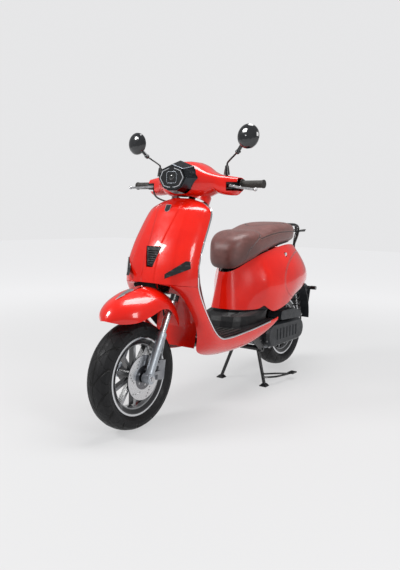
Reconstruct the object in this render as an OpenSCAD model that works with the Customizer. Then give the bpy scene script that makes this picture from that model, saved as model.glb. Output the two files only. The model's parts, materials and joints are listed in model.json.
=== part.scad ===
// Motor scooter on its centre stand.
// The rider faces -Y, the rider's left hand is on +X, and the ground is Z = 0.
// Positions are measured back from the front axle and up from the ground.

/* [Stance] */
// Distance between the wheel axles
wheelbase = 1310; // [1200:1:1500]
// Angle of the steering axis from upright
rake = 26.5; // [24:0.5:29]
// Distance from the steering axis at the ground to the front axle
trail = 85; // [70:1:95]
// Gap under the rear tyre while the stand carries the scooter
rear_lift = 29; // [15:1:40]

/* [Wheels] */
// Outer radius of both tyres
tyre_r = 231; // [215:1:240]
// Width of both tyres
tyre_w = 110; // [90:1:112]
// Radius of the rim's polished lip
rim_r = 167; // [160:1:172]
// Number of cast spokes in each wheel
spokes = 10; // [8:1:12]
// Diameter of the front axle
axle_d = 12; // [10:1:14]
// Radius of the front brake disc
disc_r = 95; // [85:1:98]
// Radial play of a shaft that turns in a bore
play = 0.05; // [0.02:0.01:0.09]

/* [Fork] */
// Distance from the middle plane to each fork leg
fork_x = 88; // [86:0.5:90]
// Outer radius of the fork sliders
slider_r = 19; // [17:0.5:20]
// Outer radius of the fork stanchions
stanchion_r = 15; // [13:0.5:15.5]
// Outer radius of the steering stem
stem_r = 16; // [14:0.5:18]

/* [Handlebar] */
// Distance from the middle plane to the end of each grip
bar_half = 362; // [340:1:380]
// Outer radius of the grips
grip_r = 16.5; // [15:0.5:18]
// Outer radius of the handlebar tube
bar_r = 11; // [10:0.5:12]
// Height of the handlebar tube
bar_z = 1048; // [1035:1:1060]
// Radius of the round mirrors
mirror_r = 52; // [45:1:60]
// Distance from the middle plane to the middle of each mirror
mirror_x = 312; // [300:1:330]

/* [Bodywork] */
// Thickness of the plastic panels
wall = 3; // [2:0.5:4]
// Half width of the seat at the pillion
seat_half = 140; // [120:1:150]

/* [Stand] */
// Distance from the middle plane to each foot
foot_x = 138; // [125:1:150]
// Radius of the stand's tubes
stand_r = 9; // [7:0.5:11]

/* [Hidden] */
$fn = 48;

// The design was drawn for this wheelbase and tyre; the floor takes up any change in length.
drawn_wheelbase = 1310;
drawn_tyre_r = 231;
floor_front = 400;
floor_rear = 640;
stretch = wheelbase - drawn_wheelbase;
raise = tyre_r - drawn_tyre_r;
front_y = -686 - stretch / 2;

front_axle_z = drawn_tyre_r;
rear_axle_z = drawn_tyre_r + rear_lift;
axis_d = [0, sin(rake), cos(rake)];
fork_offset = axle_offset();
hub_half = 50;
disc_x = 59;
disc_t = 4;
fork_travel = 70;
crown_s = 345;
crown_t = 26;
head_lo = 640;
head_hi = 930;
neck_s = 1060;
bar_s = (bar_z - front_axle_z + fork_offset * sin(rake)) / cos(rake);
lever_len = 138;
stand_pivot_y = 935;
stand_pivot_z = 195;
swing_y = 905;
swing_z = 300;
shock_x = 94;
shock_top = [shock_x, 1296, 600];
seat_hinge_y = 716;
seat_hinge_z = 622;

// ---------- shared places and shapes ----------

// Perpendicular distance from the steering axis forward to the front axle.
function axle_offset() = (front_axle_z * tan(rake) - trail) * cos(rake);

// Y of the steering axis at height z.
function axis_y(z) = -trail + z * tan(rake);

// Maps a drawn Y to the scooter's own wheelbase.
function stretched(y) =
    y <= floor_front ? y
    : y >= floor_rear ? y + stretch
    : y + stretch * (y - floor_front) / (floor_rear - floor_front);

function moved(p) = [p[0], stretched(p[1]), p[2]];

// Height of the seat's lower edge every 100 mm from its nose.
SEAT_LINE = [632, 678, 714, 740, 758, 768, 771, 768];

function seat_base(y) = along(SEAT_LINE, (y - 650) / 100);

function mirrored(p) = [-p[0], p[1], p[2]];

function pick(list, i) = list[max(0, min(len(list) - 1, i))];

// A smooth curve through a list of points, at position u counted in points.
function along(list, u) =
    let (i = min(floor(u), len(list) - 2), f = u - i,
         a = pick(list, i - 1), b = pick(list, i), c = pick(list, i + 1), d = pick(list, i + 2))
    0.5 * (2 * b + (c - a) * f + (2 * a - 5 * b + 4 * c - d) * f * f
           + (3 * b - a - 3 * c + d) * f * f * f);

function smooth(list, n) = [for (i = [0 : n]) along(list, i * (len(list) - 1) / n)];

function bow(a, m, b, s) = (1 - s) * (1 - s) * a + 2 * s * (1 - s) * m + s * s * b;

function column(rows, k) = [for (r = rows) moved(r[k])];

// A grid of points over rows of [start, bulge, end].
function half_grid(rows, nt, ns) =
    let (a = smooth(column(rows, 0), nt), m = smooth(column(rows, 1), nt),
         b = smooth(column(rows, 2), nt))
    [for (i = [0 : nt]) [for (j = [0 : ns]) bow(a[i], m[i], b[i], j / ns)]];

// The same grid carried across the middle plane.
function full_grid(rows, nt, ns) =
    let (h = half_grid(rows, nt, ns))
    [for (row = h) concat([for (j = [ns : -1 : 1]) mirrored(row[j])], row)];

function grid_normal(g, i, j) =
    let (du = pick(g, i + 1)[j] - pick(g, i - 1)[j], dv = pick(g[i], j + 1) - pick(g[i], j - 1),
         c = cross(du, dv))
    c / norm(c);

function offset_grid(g, t) =
    [for (i = [0 : len(g) - 1]) [for (j = [0 : len(g[0]) - 1]) g[i][j] + t * grid_normal(g, i, j)]];

function flat(g) = [for (row = g) for (p = row) p];

// Closes the space between two grids of the same size.
module between(g, h) {
    n = len(g);
    m = len(g[0]);
    k = n * m;
    function at(i, j) = i * m + j;
    polyhedron(
        points = concat(flat(g), flat(h)),
        faces = concat(
            [for (i = [0 : n - 2]) for (j = [0 : m - 2]) [at(i, j), at(i + 1, j), at(i + 1, j + 1)]],
            [for (i = [0 : n - 2]) for (j = [0 : m - 2]) [at(i, j), at(i + 1, j + 1), at(i, j + 1)]],
            [for (i = [0 : n - 2]) for (j = [0 : m - 2]) [k + at(i, j), k + at(i + 1, j + 1), k + at(i + 1, j)]],
            [for (i = [0 : n - 2]) for (j = [0 : m - 2]) [k + at(i, j), k + at(i, j + 1), k + at(i + 1, j + 1)]],
            [for (i = [0 : n - 2]) [at(i, 0), k + at(i, 0), k + at(i + 1, 0)]],
            [for (i = [0 : n - 2]) [at(i, 0), k + at(i + 1, 0), at(i + 1, 0)]],
            [for (i = [0 : n - 2]) [at(i, m - 1), k + at(i + 1, m - 1), k + at(i, m - 1)]],
            [for (i = [0 : n - 2]) [at(i, m - 1), at(i + 1, m - 1), k + at(i + 1, m - 1)]],
            [for (j = [0 : m - 2]) [at(0, j), k + at(0, j + 1), k + at(0, j)]],
            [for (j = [0 : m - 2]) [at(0, j), at(0, j + 1), k + at(0, j + 1)]],
            [for (j = [0 : m - 2]) [at(n - 1, j), k + at(n - 1, j), k + at(n - 1, j + 1)]],
            [for (j = [0 : m - 2]) [at(n - 1, j), k + at(n - 1, j + 1), at(n - 1, j + 1)]]));
}

// A panel of even thickness on one side of a grid.
module panel(g, t) {
    if (t > 0)
        between(g, offset_grid(g, t));
    else
        between(offset_grid(g, t), g);
}

// A solid skinned over closed rings of points, with flat ends.
module skinned(rings) {
    n = len(rings);
    m = len(rings[0]);
    function at(i, j) = i * m + j % m;
    polyhedron(
        points = flat(rings),
        faces = concat(
            [[for (j = [0 : m - 1]) j]],
            [[for (j = [m - 1 : -1 : 0]) at(n - 1, j)]],
            [for (i = [0 : n - 2]) for (j = [0 : m - 1]) [at(i, j), at(i + 1, j + 1), at(i, j + 1)]],
            [for (i = [0 : n - 2]) for (j = [0 : m - 1]) [at(i, j), at(i + 1, j), at(i + 1, j + 1)]]));
}

function squared(v, e) = sign(v) * pow(abs(v), e);

// A rounded box outline across X, between front and back Y and bottom and top Z.
function ring_yz(x, s, n, round) =
    [for (k = [0 : n - 1]) let (a = 360 * k / n)
        [x, (s[0] + s[1]) / 2 + (s[1] - s[0]) / 2 * squared(cos(a), round),
         (s[2] + s[3]) / 2 + (s[3] - s[2]) / 2 * squared(sin(a), round)]];

// A rounded box outline across Y: half width, bottom and top.
function ring_xz(y, s, n, round) =
    [for (k = [0 : n - 1]) let (a = -360 * k / n)
        [s[0] * squared(cos(a), round), y,
         (s[1] + s[2]) / 2 + (s[2] - s[1]) / 2 * squared(sin(a), round)]];

// A round cord swept along a list of points.
module cord(points, r, sides) {
    n = len(points);
    function tangent(i) = let (d = pick(points, i + 1) - pick(points, i - 1)) d / norm(d);
    function side_of(t) = let (c = cross(t, abs(t[2]) > 0.9 ? [0, 1, 0] : [0, 0, 1])) c / norm(c);
    skinned([for (i = [0 : n - 1]) let (t = tangent(i), u = side_of(t), v = cross(t, u))
        [for (k = [0 : sides - 1]) let (a = 360 * k / sides) points[i] + r * (cos(a) * u + sin(a) * v)]]);
}

module rod(a, b, r) {
    d = b - a;
    translate(a)
        rotate([0, acos(d[2] / norm(d)), atan2(d[1], d[0])])
            cylinder(r = r, h = norm(d));
}

module both_sides() {
    children();
    mirror([1, 0, 0])
        children();
}

module on_bike() translate([0, front_y, raise]) children();

module on_rear() translate([0, front_y + stretch, raise]) children();

// Turns about the X axis at the wheels.
module across(y, z) translate([0, y, z]) rotate([0, 90, 0]) children();

// Local Z runs up the steering axis; s = 0 is level with the front axle.
module on_axis(s) {
    translate([0, -fork_offset * -cos(rake), front_axle_z - fork_offset * sin(rake)])
        rotate([-rake, 0, 0])
            translate([0, 0, s])
                children();
}

// Local Z runs up one fork leg from the front axle.
module on_leg(s) {
    translate([0, 0, front_axle_z])
        rotate([-rake, 0, 0])
            translate([0, 0, s])
                children();
}

// ---------- body surfaces ----------

// Front shield: middle, bulge and edge of each level, from the neck down.
SHIELD = [
    [[0, 316, 981], [40, 316, 981], [62, 326, 976]],
    [[0, 292, 970], [78, 292, 970], [104, 330, 965]],
    [[0, 262, 956], [106, 264, 954], [128, 329, 952]],
    [[0, 230, 936], [130, 232, 934], [152, 328, 936]],
    [[0, 212, 905], [146, 214, 905], [168, 314, 905]],
    [[0, 178, 846], [156, 180, 846], [177, 276, 846]],
    [[0, 136, 772], [164, 138, 772], [183, 232, 772]],
    [[0, 108, 695], [168, 110, 695], [187, 200, 695]],
    [[0, 95, 645], [168, 97, 645], [190, 193, 645]],
    [[0, 90, 618], [166, 92, 616], [190, 194, 606]]
];

// Side skirt: arch or belly edge, bulge and floor edge, from the shield back to the tip.
SKIRT = [
    [[60, 97, 617], [165, 106, 612], [190, 195, 605]],
    [[100, 118, 610], [178, 135, 592], [190, 204, 580]],
    [[130, 160, 572], [185, 168, 560], [190, 222, 545]],
    [[142, 208, 505], [192, 204, 506], [190, 256, 490]],
    [[146, 245, 444], [197, 240, 450], [190, 300, 430]],
    [[146, 262, 391], [200, 280, 400], [189, 340, 385]],
    [[140, 270, 345], [200, 320, 350], [186, 390, 352]],
    [[125, 285, 305], [195, 370, 305], [184, 440, 343]],
    [[115, 340, 277], [195, 450, 285], [184, 510, 342]],
    [[112, 430, 258], [196, 540, 272], [186, 590, 347]],
    [[116, 550, 252], [198, 640, 272], [188, 680, 353]],
    [[126, 665, 258], [200, 740, 286], [189, 770, 361]],
    [[142, 770, 284], [202, 820, 312], [189, 850, 369]],
    [[164, 860, 322], [200, 890, 342], [188, 910, 375]],
    [[178, 922, 356], [196, 932, 364], [186, 946, 380]]
];

// Rear cowl: top, bulge and lower edge, from the front round to the tail.
COWL = [
    [[0, 692, 622], [0, 674, 560], [0, 662, 438]],
    [[30, 698, 626], [44, 696, 560], [52, 672, 437]],
    [[56, 738, 644], [88, 766, 560], [92, 726, 432]],
    [[76, 786, 669], [138, 808, 566], [118, 786, 430]],
    [[92, 828, 688], [175, 848, 576], [138, 826, 434]],
    [[104, 866, 705], [203, 872, 588], [150, 852, 448]],
    [[110, 900, 716], [215, 902, 594], [160, 878, 432]],
    [[115, 942, 725], [225, 940, 600], [170, 922, 412]],
    [[118, 1002, 738], [231, 998, 604], [180, 990, 424]],
    [[118, 1070, 748], [234, 1068, 606], [186, 1062, 448]],
    [[116, 1150, 755], [230, 1160, 604], [184, 1145, 488]],
    [[104, 1240, 752], [208, 1310, 588], [160, 1262, 504]],
    [[84, 1305, 738], [160, 1440, 572], [124, 1360, 510]],
    [[50, 1345, 728], [106, 1556, 560], [74, 1430, 516]],
    [[0, 1356, 724], [0, 1610, 554], [0, 1456, 520]]
];

SHIELD_INNER = [
    [[0, 438, 930], [70, 438, 930], [140, 334, 936]],
    [[0, 425, 905], [74, 425, 905], [162, 320, 905]],
    [[0, 398, 846], [78, 398, 846], [171, 282, 846]],
    [[0, 366, 772], [84, 366, 772], [177, 240, 772]],
    [[0, 362, 695], [92, 362, 695], [181, 210, 695]],
    [[0, 374, 620], [104, 374, 620], [184, 206, 606]],
    [[0, 376, 540], [118, 376, 540], [184, 236, 545]],
    [[0, 376, 470], [130, 376, 470], [184, 284, 470]],
    [[0, 380, 400], [136, 380, 400], [182, 346, 400]],
    [[0, 390, 356], [136, 392, 356], [179, 392, 358]]
];

function edge_path() = concat(
    smooth(column([for (i = [1 : 8]) SHIELD[i]], 2), 15),
    smooth(column([for (i = [0 : 12]) SKIRT[i]], 2), 26));

// ---------- fixed body ----------

// Frame rail on the left side.
RAIL = [[0, 440, 300], [60, 466, 297], [105, 520, 296], [105, 620, 296], [105, 740, 296], [105, 820, 298],
        [117, 884, 350], [126, 936, 458], [126, 990, 560], [125, 1110, 622], [122, 1230, 662], [96, 1290, 678],
        [60, 1342, 686]];

// Floor rails and seat posts. The floor board is cut with a grown copy.
module rails(grow)
    both_sides() {
        cord([for (p = smooth(RAIL, 36)) moved(p)], 14 + grow, 10);
        cord([for (q = [[29, seat_hinge_y, 568], [29, seat_hinge_y + 8, 500], [36, seat_hinge_y + 18, 430],
                        [56, 756, 350], [60, 760, 296]]) moved(q)], 8 + grow, 8);
    }

module frame() on_bike() color("#2b2b2d") {
    difference() {
        union() {
            on_axis(head_lo - 231)
                cylinder(r = 27, h = head_hi - head_lo);
            cord(smooth([[0, axis_y(655) + 14, 655], [0, 318, 590], [0, 338, 510], [0, 340, 430], [0, 356, 346],
                         [0, 396, 308], [0, 450, 299]], 14), 24, 16);
            rails(0);
            rod([-62, stretched(1340), 686], [62, stretched(1340), 686], 10, $fn = 16);
            rod([-124, stretched(1050), 592], [124, stretched(1050), 592], 9, $fn = 16);
            rod([-105, stretched(760), 296], [105, stretched(760), 296], 12, $fn = 16);
            both_sides() {
                // Bracket for the stand and the engine, with their pins
                hull() {
                    translate([98, stretched(826), 290])
                        rotate([0, 90, 0])
                            cylinder(r = 18, h = 10, $fn = 20);
                    translate([98, stretched(stand_pivot_y), stand_pivot_z])
                        rotate([0, 90, 0])
                            cylinder(r = 16, h = 10, $fn = 20);
                    translate([98, stretched(swing_y), swing_z])
                        rotate([0, 90, 0])
                            cylinder(r = 15, h = 10, $fn = 20);
                }
                translate([60, stretched(stand_pivot_y), stand_pivot_z])
                    rotate([0, 90, 0])
                        cylinder(r = 6, h = 52);
                translate([48, stretched(swing_y), swing_z])
                    rotate([0, 90, 0])
                        cylinder(r = 7, h = 66);
                // Lug of the seat hinge
                translate([26, stretched(seat_hinge_y) - 10, seat_hinge_z - 62])
                    cube([7, 20, 62]);
                translate([26, stretched(seat_hinge_y), seat_hinge_z])
                    rotate([0, 90, 0])
                        cylinder(r = 10, h = 7);
                // Rail under the storage bin
                cord([for (q = [[35, seat_hinge_y + 16, 440], [96, 790, 456], [126, 936, 458]]) moved(q)], 7, 8);
            }
            // Upper mount of the shock absorber, on the left
            rod([shock_x + 19, stretched(shock_top[1]), shock_top[2] - 7],
                [shock_x + 14, stretched(shock_top[1]), shock_top[2] + 76], 7, $fn = 16);
            translate([shock_x - 14, stretched(shock_top[1]), shock_top[2]])
                rotate([0, 90, 0])
                    cylinder(r = 6, h = 34);
        }
        on_axis(head_lo - 232)
            cylinder(r = 23, h = head_hi - head_lo + 2);
        both_sides()
            translate([20, stretched(seat_hinge_y), seat_hinge_z])
                rotate([0, 90, 0])
                    cylinder(r = 4 + play, h = 20);
    }
}

module head_bearings() on_bike() color("#b9bcc0") {
    for (s = [head_lo - 231, head_hi - 231 - 14])
        on_axis(s)
            difference() {
                cylinder(r = 23, h = 14);
                translate([0, 0, -1])
                    cylinder(r = stem_r + play, h = 16);
            }
}

module leg_shield() on_bike() color("#d8150c")
    difference() {
        panel(full_grid(SHIELD, 20, 8), wall);
        translate([0, 90, 700])
            rotate([90, 0, 0])
                linear_extrude(height = 160, center = true)
                    polygon([[-43, 72], [43, 72], [18, -16], [-18, -16]]);
        both_sides()
            signal_front();
    }

module side_skirts() on_bike() color("#d8150c")
    both_sides()
        panel(half_grid(SKIRT, 26, 6), wall);

WELL = [[118, 637], [150, 640], [196, 640], [246, 622], [284, 586], [304, 540],
        [306, 480], [300, 400], [291, 345], [284, 312]];

well_half = 114;

module wheel_well() on_bike() color("#c2120a")
    difference() {
        translate([-well_half, 0, 0])
            rotate([90, 0, 90])
                linear_extrude(height = 2 * well_half)
                    polygon(concat(smooth(WELL, 18), [for (p = [for (i = [18 : -1 : 0]) smooth(WELL, 18)[i]])
                        p + [0.83 * wall, 0.83 * wall]]));
        // Room for the head tube and for the brake hose as it swings round
        on_axis(300)
            cylinder(r = 54, h = 200);
    }

module shield_inner() on_bike() color("#1c1c1e")
    difference() {
        panel(full_grid(SHIELD_INNER, 16, 8), -wall);
        lock_place()
            cylinder(r = lock_r + 1, h = 80, center = true);
    }

lock_r = 13;

module lock_place() translate([66, 348, 797]) rotate([-78, 0, 0]) children();

module edge_trim() on_bike() color("#c9ccd0")
    both_sides()
        cord([for (p = edge_path()) p + [4, 3, 0]], 4, 6);

GRILLE_FACE = [[-42, 70], [42, 70], [17, -13], [-17, -13]];

module horn_grille() on_bike() color("#161719")
    difference() {
        translate([0, 120, 700])
            rotate([90 - 19, 0, 0])
                linear_extrude(height = 6)
                    polygon(GRILLE_FACE);
        for (k = [0 : 6])
            translate([-12 - 3 * k, 60, 694 + 9.5 * k])
                cube([24 + 6 * k, 90, 3.2]);
    }

module signal_front() {
    translate([138, 127, 682])
        rotate([0, 0, 44])
            rotate([-12, 0, 0])
                rotate([0, -14, 0])
                    rotate([90, 0, 0])
                        linear_extrude(height = 12, center = true)
                            polygon([[-66, -26], [-62, -8], [40, 24], [58, 18], [52, -12]]);
}

module signal_rear() {
    rod([61.5, 1572, 466], [86, 1574, 470], 5);
    translate([101, 1574, 472])
        rotate([0, 90, 0])
            cylinder(r = 12, h = 32, center = true);
}

module turn_signals() color("#26282b") {
    on_bike()
        both_sides()
            signal_front();
    on_rear()
        both_sides()
            signal_rear();
}

module floor_board() on_bike() color("#1c1c1e")
    difference() {
        union() {
            // Tread
            hull() {
                translate([-176, 404, 342])
                    cube([352, 10, 6]);
                translate([-178, stretched(640), 345])
                    cube([356, 10, 6]);
            }
            hull() {
                translate([-178, stretched(649), 345])
                    cube([356, 1, 6]);
                translate([-176, stretched(900), 368])
                    cube([352, 10, 6]);
            }
            // Riser under the seat, open at the back and tucked into the rear cowl at its top
            panel(concat([for (h = [[346, 150, 622], [380, 150, 630], [402, 149, 638]])
                              riser_line(h[0], h[1], h[2])],
                         [for (z = [426, 452]) both_halves([for (p = TUCK) [p[0], stretched(p[1]), z]])]), -wall);
        }
        rails(1.5);
    }

// Plan outline of the riser's top edge, inside the rear cowl: half width and Y.
TUCK = [[0, 674], [24, 676], [47, 679], [85, 730], [111, 789], [131, 830], [143, 856], [148, 869], [153, 881]];

function both_halves(half) = concat([for (i = [len(half) - 1 : -1 : 1]) mirrored(half[i])], half);

// Plan outline of the riser at one height: half width and front Y.
function riser_line(z, w, y0) =
    both_halves([for (p = [[0, 0], [0.2, 0], [0.4, 8], [0.58, 24], [0.75, 54], [0.88, 94], [0.97, 140], [1, 190],
                           [1, 240]]) [p[0] * w, stretched(y0 + p[1]), z]]);

module floor_mat() on_bike() color("#101113")
    for (side = [-1, 1])
        for (k = [0 : 4])
            hull() {
                translate([side * (28 + 29 * k) - 10, 420, 348.6])
                    cube([20, 4, 4]);
                translate([side * (28 + 29 * k) - 10, stretched(k > 3 ? 626 : 590 + 8 * k), 351.3])
                    cube([20, 4, 4]);
            }

module side_cowl() {
    difference() {
        panel(half_grid(COWL, 36, 8), -wall);
        translate([-1, 400, 400])
            cube([1.5, 1400 + stretch, 500]);
        // Slot for the tail light
        translate([-56, stretched(1420), 574])
            cube([112, 200, 50]);
        translate([60, stretched(1078), 704])
            rotate([0, 90, 0])
                cylinder(r = 13, h = 200);
        // Notches for the mudguard and for the foot of the grab rail
        translate([0, stretch, 0]) {
            mudguard_arc(1.5);
            translate([60, 1366, 690])
                cylinder(r = 10, h = 90);
        }
    }
}

module mudguard_arc(grow)
    across(1312, 300)
        rotate([0, 0, 86])
            rotate_extrude(angle = 84)
                polygon([[262 - grow, -74 - grow], [268 + grow, -74 - grow], [276 + grow, -40], [276 + grow, 40],
                         [268 + grow, 74 + grow], [262 - grow, 74 + grow]]);

module side_cowl_left() on_bike() color("#d8150c") side_cowl();

module side_cowl_right() on_bike() color("#d8150c") mirror([1, 0, 0]) side_cowl();

module tail_light() on_rear() color("#8c1210")
    hull() {
        translate([-54, 1466, 577])
            cube([108, 14, 44]);
        translate([-40, 1500, 580])
            cube([80, 12, 34]);
    }

module rear_mudguard() on_rear() color("#3a3e43") {
    difference() {
        union() {
            mudguard_arc(0);
            // Number plate carrier
            translate([-70, 1572, 372])
                rotate([-14, 0, 0])
                    cube([140, 5, 110]);
            both_sides()
                hull() {
                    translate([52, 1530, 460])
                        cube([8, 10, 40]);
                    translate([52, 1590, 440])
                        cube([8, 10, 30]);
                }
        }
        across(1312, 300)
            cylinder(r = 261.9, h = 200, center = true);
    }
}

module grab_rail() on_rear() color("#17181a") {
    both_sides() {
        cord(smooth([[60, 1366, 712], [60, 1362, 750], [84, 1352, 806], [80, 1366, 846], [46, 1398, 862],
                     [0, 1408, 864]], 20), 8, 8);
        cord(smooth([[60, 1360, 752], [52, 1380, 776], [44, 1414, 812], [40, 1470, 824], [40, 1540, 826]], 12), 6, 8);
        hull() {
            translate([34, 1410, 820])
                cylinder(r = 8, h = 7);
            translate([30, 1566, 830])
                cylinder(r = 6, h = 5);
        }
        rod([46, 1398, 860], [44, 1418, 818], 6);
    }
    for (y = [1446, 1486, 1526])
        translate([-38, y, 820])
            cube([76, 14, 6]);
}

module storage_bin() on_bike() color("#2a2b2e")
    difference() {
        bin_shape(0);
        bin_shape(wall);
    }

// The bin is deep at the front and open at the top.
module bin_shape(inset)
    hull() {
        translate([inset - 76, stretched(842) + inset, 470 + inset])
            cube([152 - 2 * inset, 170 - 2 * inset, 2]);
        translate([inset - 80, stretched(826) + inset, 654])
            cube([160 - 2 * inset, 200 - 2 * inset, inset > 0 ? 90 : 2]);
        translate([inset - 84, stretched(1022) - inset, 712])
            cube([168 - 2 * inset, 4, inset > 0 ? 90 : 2]);
    }

module fuel_tank() on_rear() color("#34363a") {
    difference() {
        union() {
            hull()
                for (x = [-80, 80])
                    for (y = [1092, 1226])
                        translate([x, y, 606])
                            cylinder(r = 20, h = 84);
            translate([0, 1160, 690])
                cylinder(r = 26, h = 26);
        }
        translate([-90, 1096, 610])
            cube([180, 130, 74]);
    }
}

module ignition_lock() on_bike() color("#2f3134") {
    lock_place() {
        cylinder(r = lock_r, h = 20);
        translate([-2, -9, 18])
            cube([4, 18, 14]);
    }
}

module seat_lock() on_bike() color("#a9acb0")
    translate([128, stretched(1078), 704])
        rotate([0, 90, 0]) {
            cylinder(r = 11, h = 26);
            translate([-2, -7, 24])
                cube([4, 14, 4]);
        }

// ---------- steering ----------

module steering_stem() on_bike() color("#303235") {
    difference() {
        union() {
            on_axis(crown_s - 12)
                cylinder(r = stem_r, h = bar_s + 20 - (crown_s - 12));
            // Clamp around the handlebar
            on_axis(bar_s - 24)
                cylinder(r = 26, h = 48);
            crown(0);
            on_axis(head_lo - 231 - 16)
                cylinder(r = 26, h = 12);
            on_axis(head_hi - 231 + 4)
                cylinder(r = 24, h = 14);
        }
        for (x = [-fork_x, fork_x])
            translate([x, 0, 0])
                on_leg(crown_s - 20)
                    cylinder(r = stanchion_r, h = 80);
        translate([-120, 0, bar_z])
            rotate([0, 90, 0])
                translate([0, axis_y(bar_z), 0])
                    cylinder(r = bar_r, h = 240);
    }
}

// Lower crown between the fork legs. The fender is cut with a grown copy.
module crown(grow)
    hull()
        for (x = [-fork_x, 0, fork_x])
            translate([x, 0, 0])
                on_leg(crown_s - grow)
                    translate([0, x == 0 ? fork_offset : 0, 0])
                        cylinder(r = grow + (x == 0 ? 30 : 25), h = crown_t + 2 * grow);

module fork_stanchions() on_bike() color("#8e9297")
    for (x = [-fork_x, fork_x])
        translate([x, 0, 0])
            on_leg(60 + fork_travel)
                cylinder(r = stanchion_r, h = crown_s + crown_t - 56 - fork_travel);

module handlebar() on_bike() color("#56595d")
    translate([-bar_half + 4, axis_y(bar_z), bar_z])
        rotate([0, 90, 0])
            cylinder(r = bar_r, h = 2 * bar_half - 8);

// Cowl outline at distances from the middle: front, back, bottom, top.
COWL_AT = [0, 40, 78, 100, 128, 152, 166, 196, 228, 240, 250];
COWL_BOX = [
    [300, 500, 984, 1151], [300, 498, 986, 1148], [302, 492, 990, 1130], [312, 486, 998, 1114],
    [334, 480, 1010, 1100], [352, 474, 1016, 1092], [360, 470, 1004, 1089], [372, 464, 999, 1085],
    [384, 459, 999, 1080], [388, 457, 1008, 1078], [392, 455, 1016, 1077]
];

function cowl_rings(inset, reach) = [for (i = [-20 : 20])
    let (u = abs(i) / 2, box = along(COWL_BOX, u), x = along([for (a = COWL_AT) [a]], u)[0])
    ring_yz(sign(i) * (x + (abs(i) == 20 ? reach : 0)),
            box + inset * [1, -1, 1, -1], 22, 0.62)];

function neck_ring(s, grow) = [for (k = [0 : 23]) let (a = 360 * k / 24,
    side = 97 - 0.1 * (s - neck_s) + grow, front = 82 + 0.2 * (s - neck_s) + grow, back = 62 + grow)
    [side * sin(a), (cos(a) > 0 ? -front : -back) * cos(a), s - 231]];

module handlebar_cowl() on_bike() color("#d8150c")
    difference() {
        union() {
            skinned(cowl_rings(0, 0));
            on_axis(0)
                skinned([neck_ring(neck_s, 0), neck_ring(neck_s + 40, 4)]);
        }
        skinned(cowl_rings(wall, 4));
        on_axis(0)
            skinned([neck_ring(neck_s - 2, -wall), neck_ring(neck_s + 60, -wall)]);
        // Opening behind the headlight
        translate([0, 340, 1072])
            rotate([90, 0, 0])
                linear_extrude(height = 80)
                    lens_outline(-2);
        bezel_block();
        // Seat of the instruments
        cluster_place()
            cylinder(r = cluster_r, h = 60);
        both_sides() {
            // Slot for the lever, hole for the mirror and openings for the switches
            translate([204, 340, 1018])
                cube([60, 74, 38]);
            translate([mirror_foot[0], mirror_foot[1], 1060])
                cylinder(r = 8, h = 60);
            translate([206, 450, horn_z])
                rotate([-90, 0, 0])
                    cylinder(r = 8, h = 30);
            translate([195, 450, switch_z - 5])
                cube([22, 30, 10]);
        }
    }

horn_z = 1036;
switch_z = 1062;
cluster_r = 37;

module cluster_place() translate([0, 438, 1118]) rotate([-14, 0, 0]) children();

module lens_outline(grow)
    polygon([for (p = [[0, 58], [58, 37], [77, -4], [52, -44], [24, -57],
                       [-24, -57], [-52, -44], [-77, -4], [-58, 37]]) p * (1 + grow / 70)]);

module bezel_block()
    hull() {
        translate([0, 258, 1072])
            rotate([90, 0, 0])
                linear_extrude(height = 4)
                    lens_outline(0);
        translate([0, 316, 1076])
            rotate([90, 0, 0])
                linear_extrude(height = 4)
                    lens_outline(20);
    }

module headlight_bezel() on_bike() color("#3b4045")
    difference() {
        bezel_block();
        translate([0, 330, 1072])
            rotate([90, 0, 0])
                linear_extrude(height = 90)
                    lens_outline(-4);
    }

module headlight_lens() on_bike() color("#14161a")
    translate([0, 300, 1072])
        rotate([90, 0, 0])
            linear_extrude(height = 50)
                lens_outline(-4.5);

module instrument_cluster() on_bike() color("#1a1b1e")
    cluster_place()
        cylinder(r = cluster_r - 0.2, h = 25);

module grip(x0, x1) {
    difference() {
        union() {
            translate([x0, axis_y(bar_z), bar_z])
                rotate([0, 90, 0])
                    cylinder(r = grip_r, h = x1 - x0);
            translate([x0, axis_y(bar_z), bar_z])
                rotate([0, 90, 0])
                    cylinder(r = grip_r + 6, h = 5);
            translate([x1 - 6, axis_y(bar_z), bar_z])
                rotate([0, 90, 0])
                    cylinder(r = grip_r + 2, h = 6);
        }
        translate([x0 - 1, axis_y(bar_z), bar_z])
            rotate([0, 90, 0])
                cylinder(r = bar_r + play, h = x1 - x0 - 2);
    }
}

module left_grip() on_bike() color("#2c2a24") grip(252, bar_half);

module throttle_grip() on_bike() color("#2c2a24") mirror([1, 0, 0]) grip(252, bar_half);

lever_pivot = [222, axis_y(bar_z) - 48, 1040];

// Lever perch around the bar, with the pin that the lever turns on.
module perch() {
    difference() {
        union() {
            translate([176, axis_y(bar_z), bar_z])
                rotate([0, 90, 0])
                    cylinder(r = 16, h = 64);
            // Boss for the mirror
            translate([mirror_foot[0], mirror_foot[1], bar_z - 12])
                cylinder(r = 12, h = 32);
            translate([mirror_foot[0] - 9, mirror_foot[1], bar_z - 10])
                cube([18, 24, 22]);
            translate([208, lever_pivot[1] - 14, 1026])
                cube([30, 50, 5.5]);
            translate([208, lever_pivot[1] - 14, 1047])
                cube([30, 50, 7]);
            translate(lever_pivot - [0, 0, 13])
                cylinder(r = 4, h = 26);
        }
        translate([170, axis_y(bar_z), bar_z])
            rotate([0, 90, 0])
                cylinder(r = bar_r, h = 90);
        translate([mirror_foot[0], mirror_foot[1], bar_z - 8])
            cylinder(r = 6 + play, h = 60);
    }
}

module brake_perches() on_bike() color("#191a1c")
    both_sides()
        perch();

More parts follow.
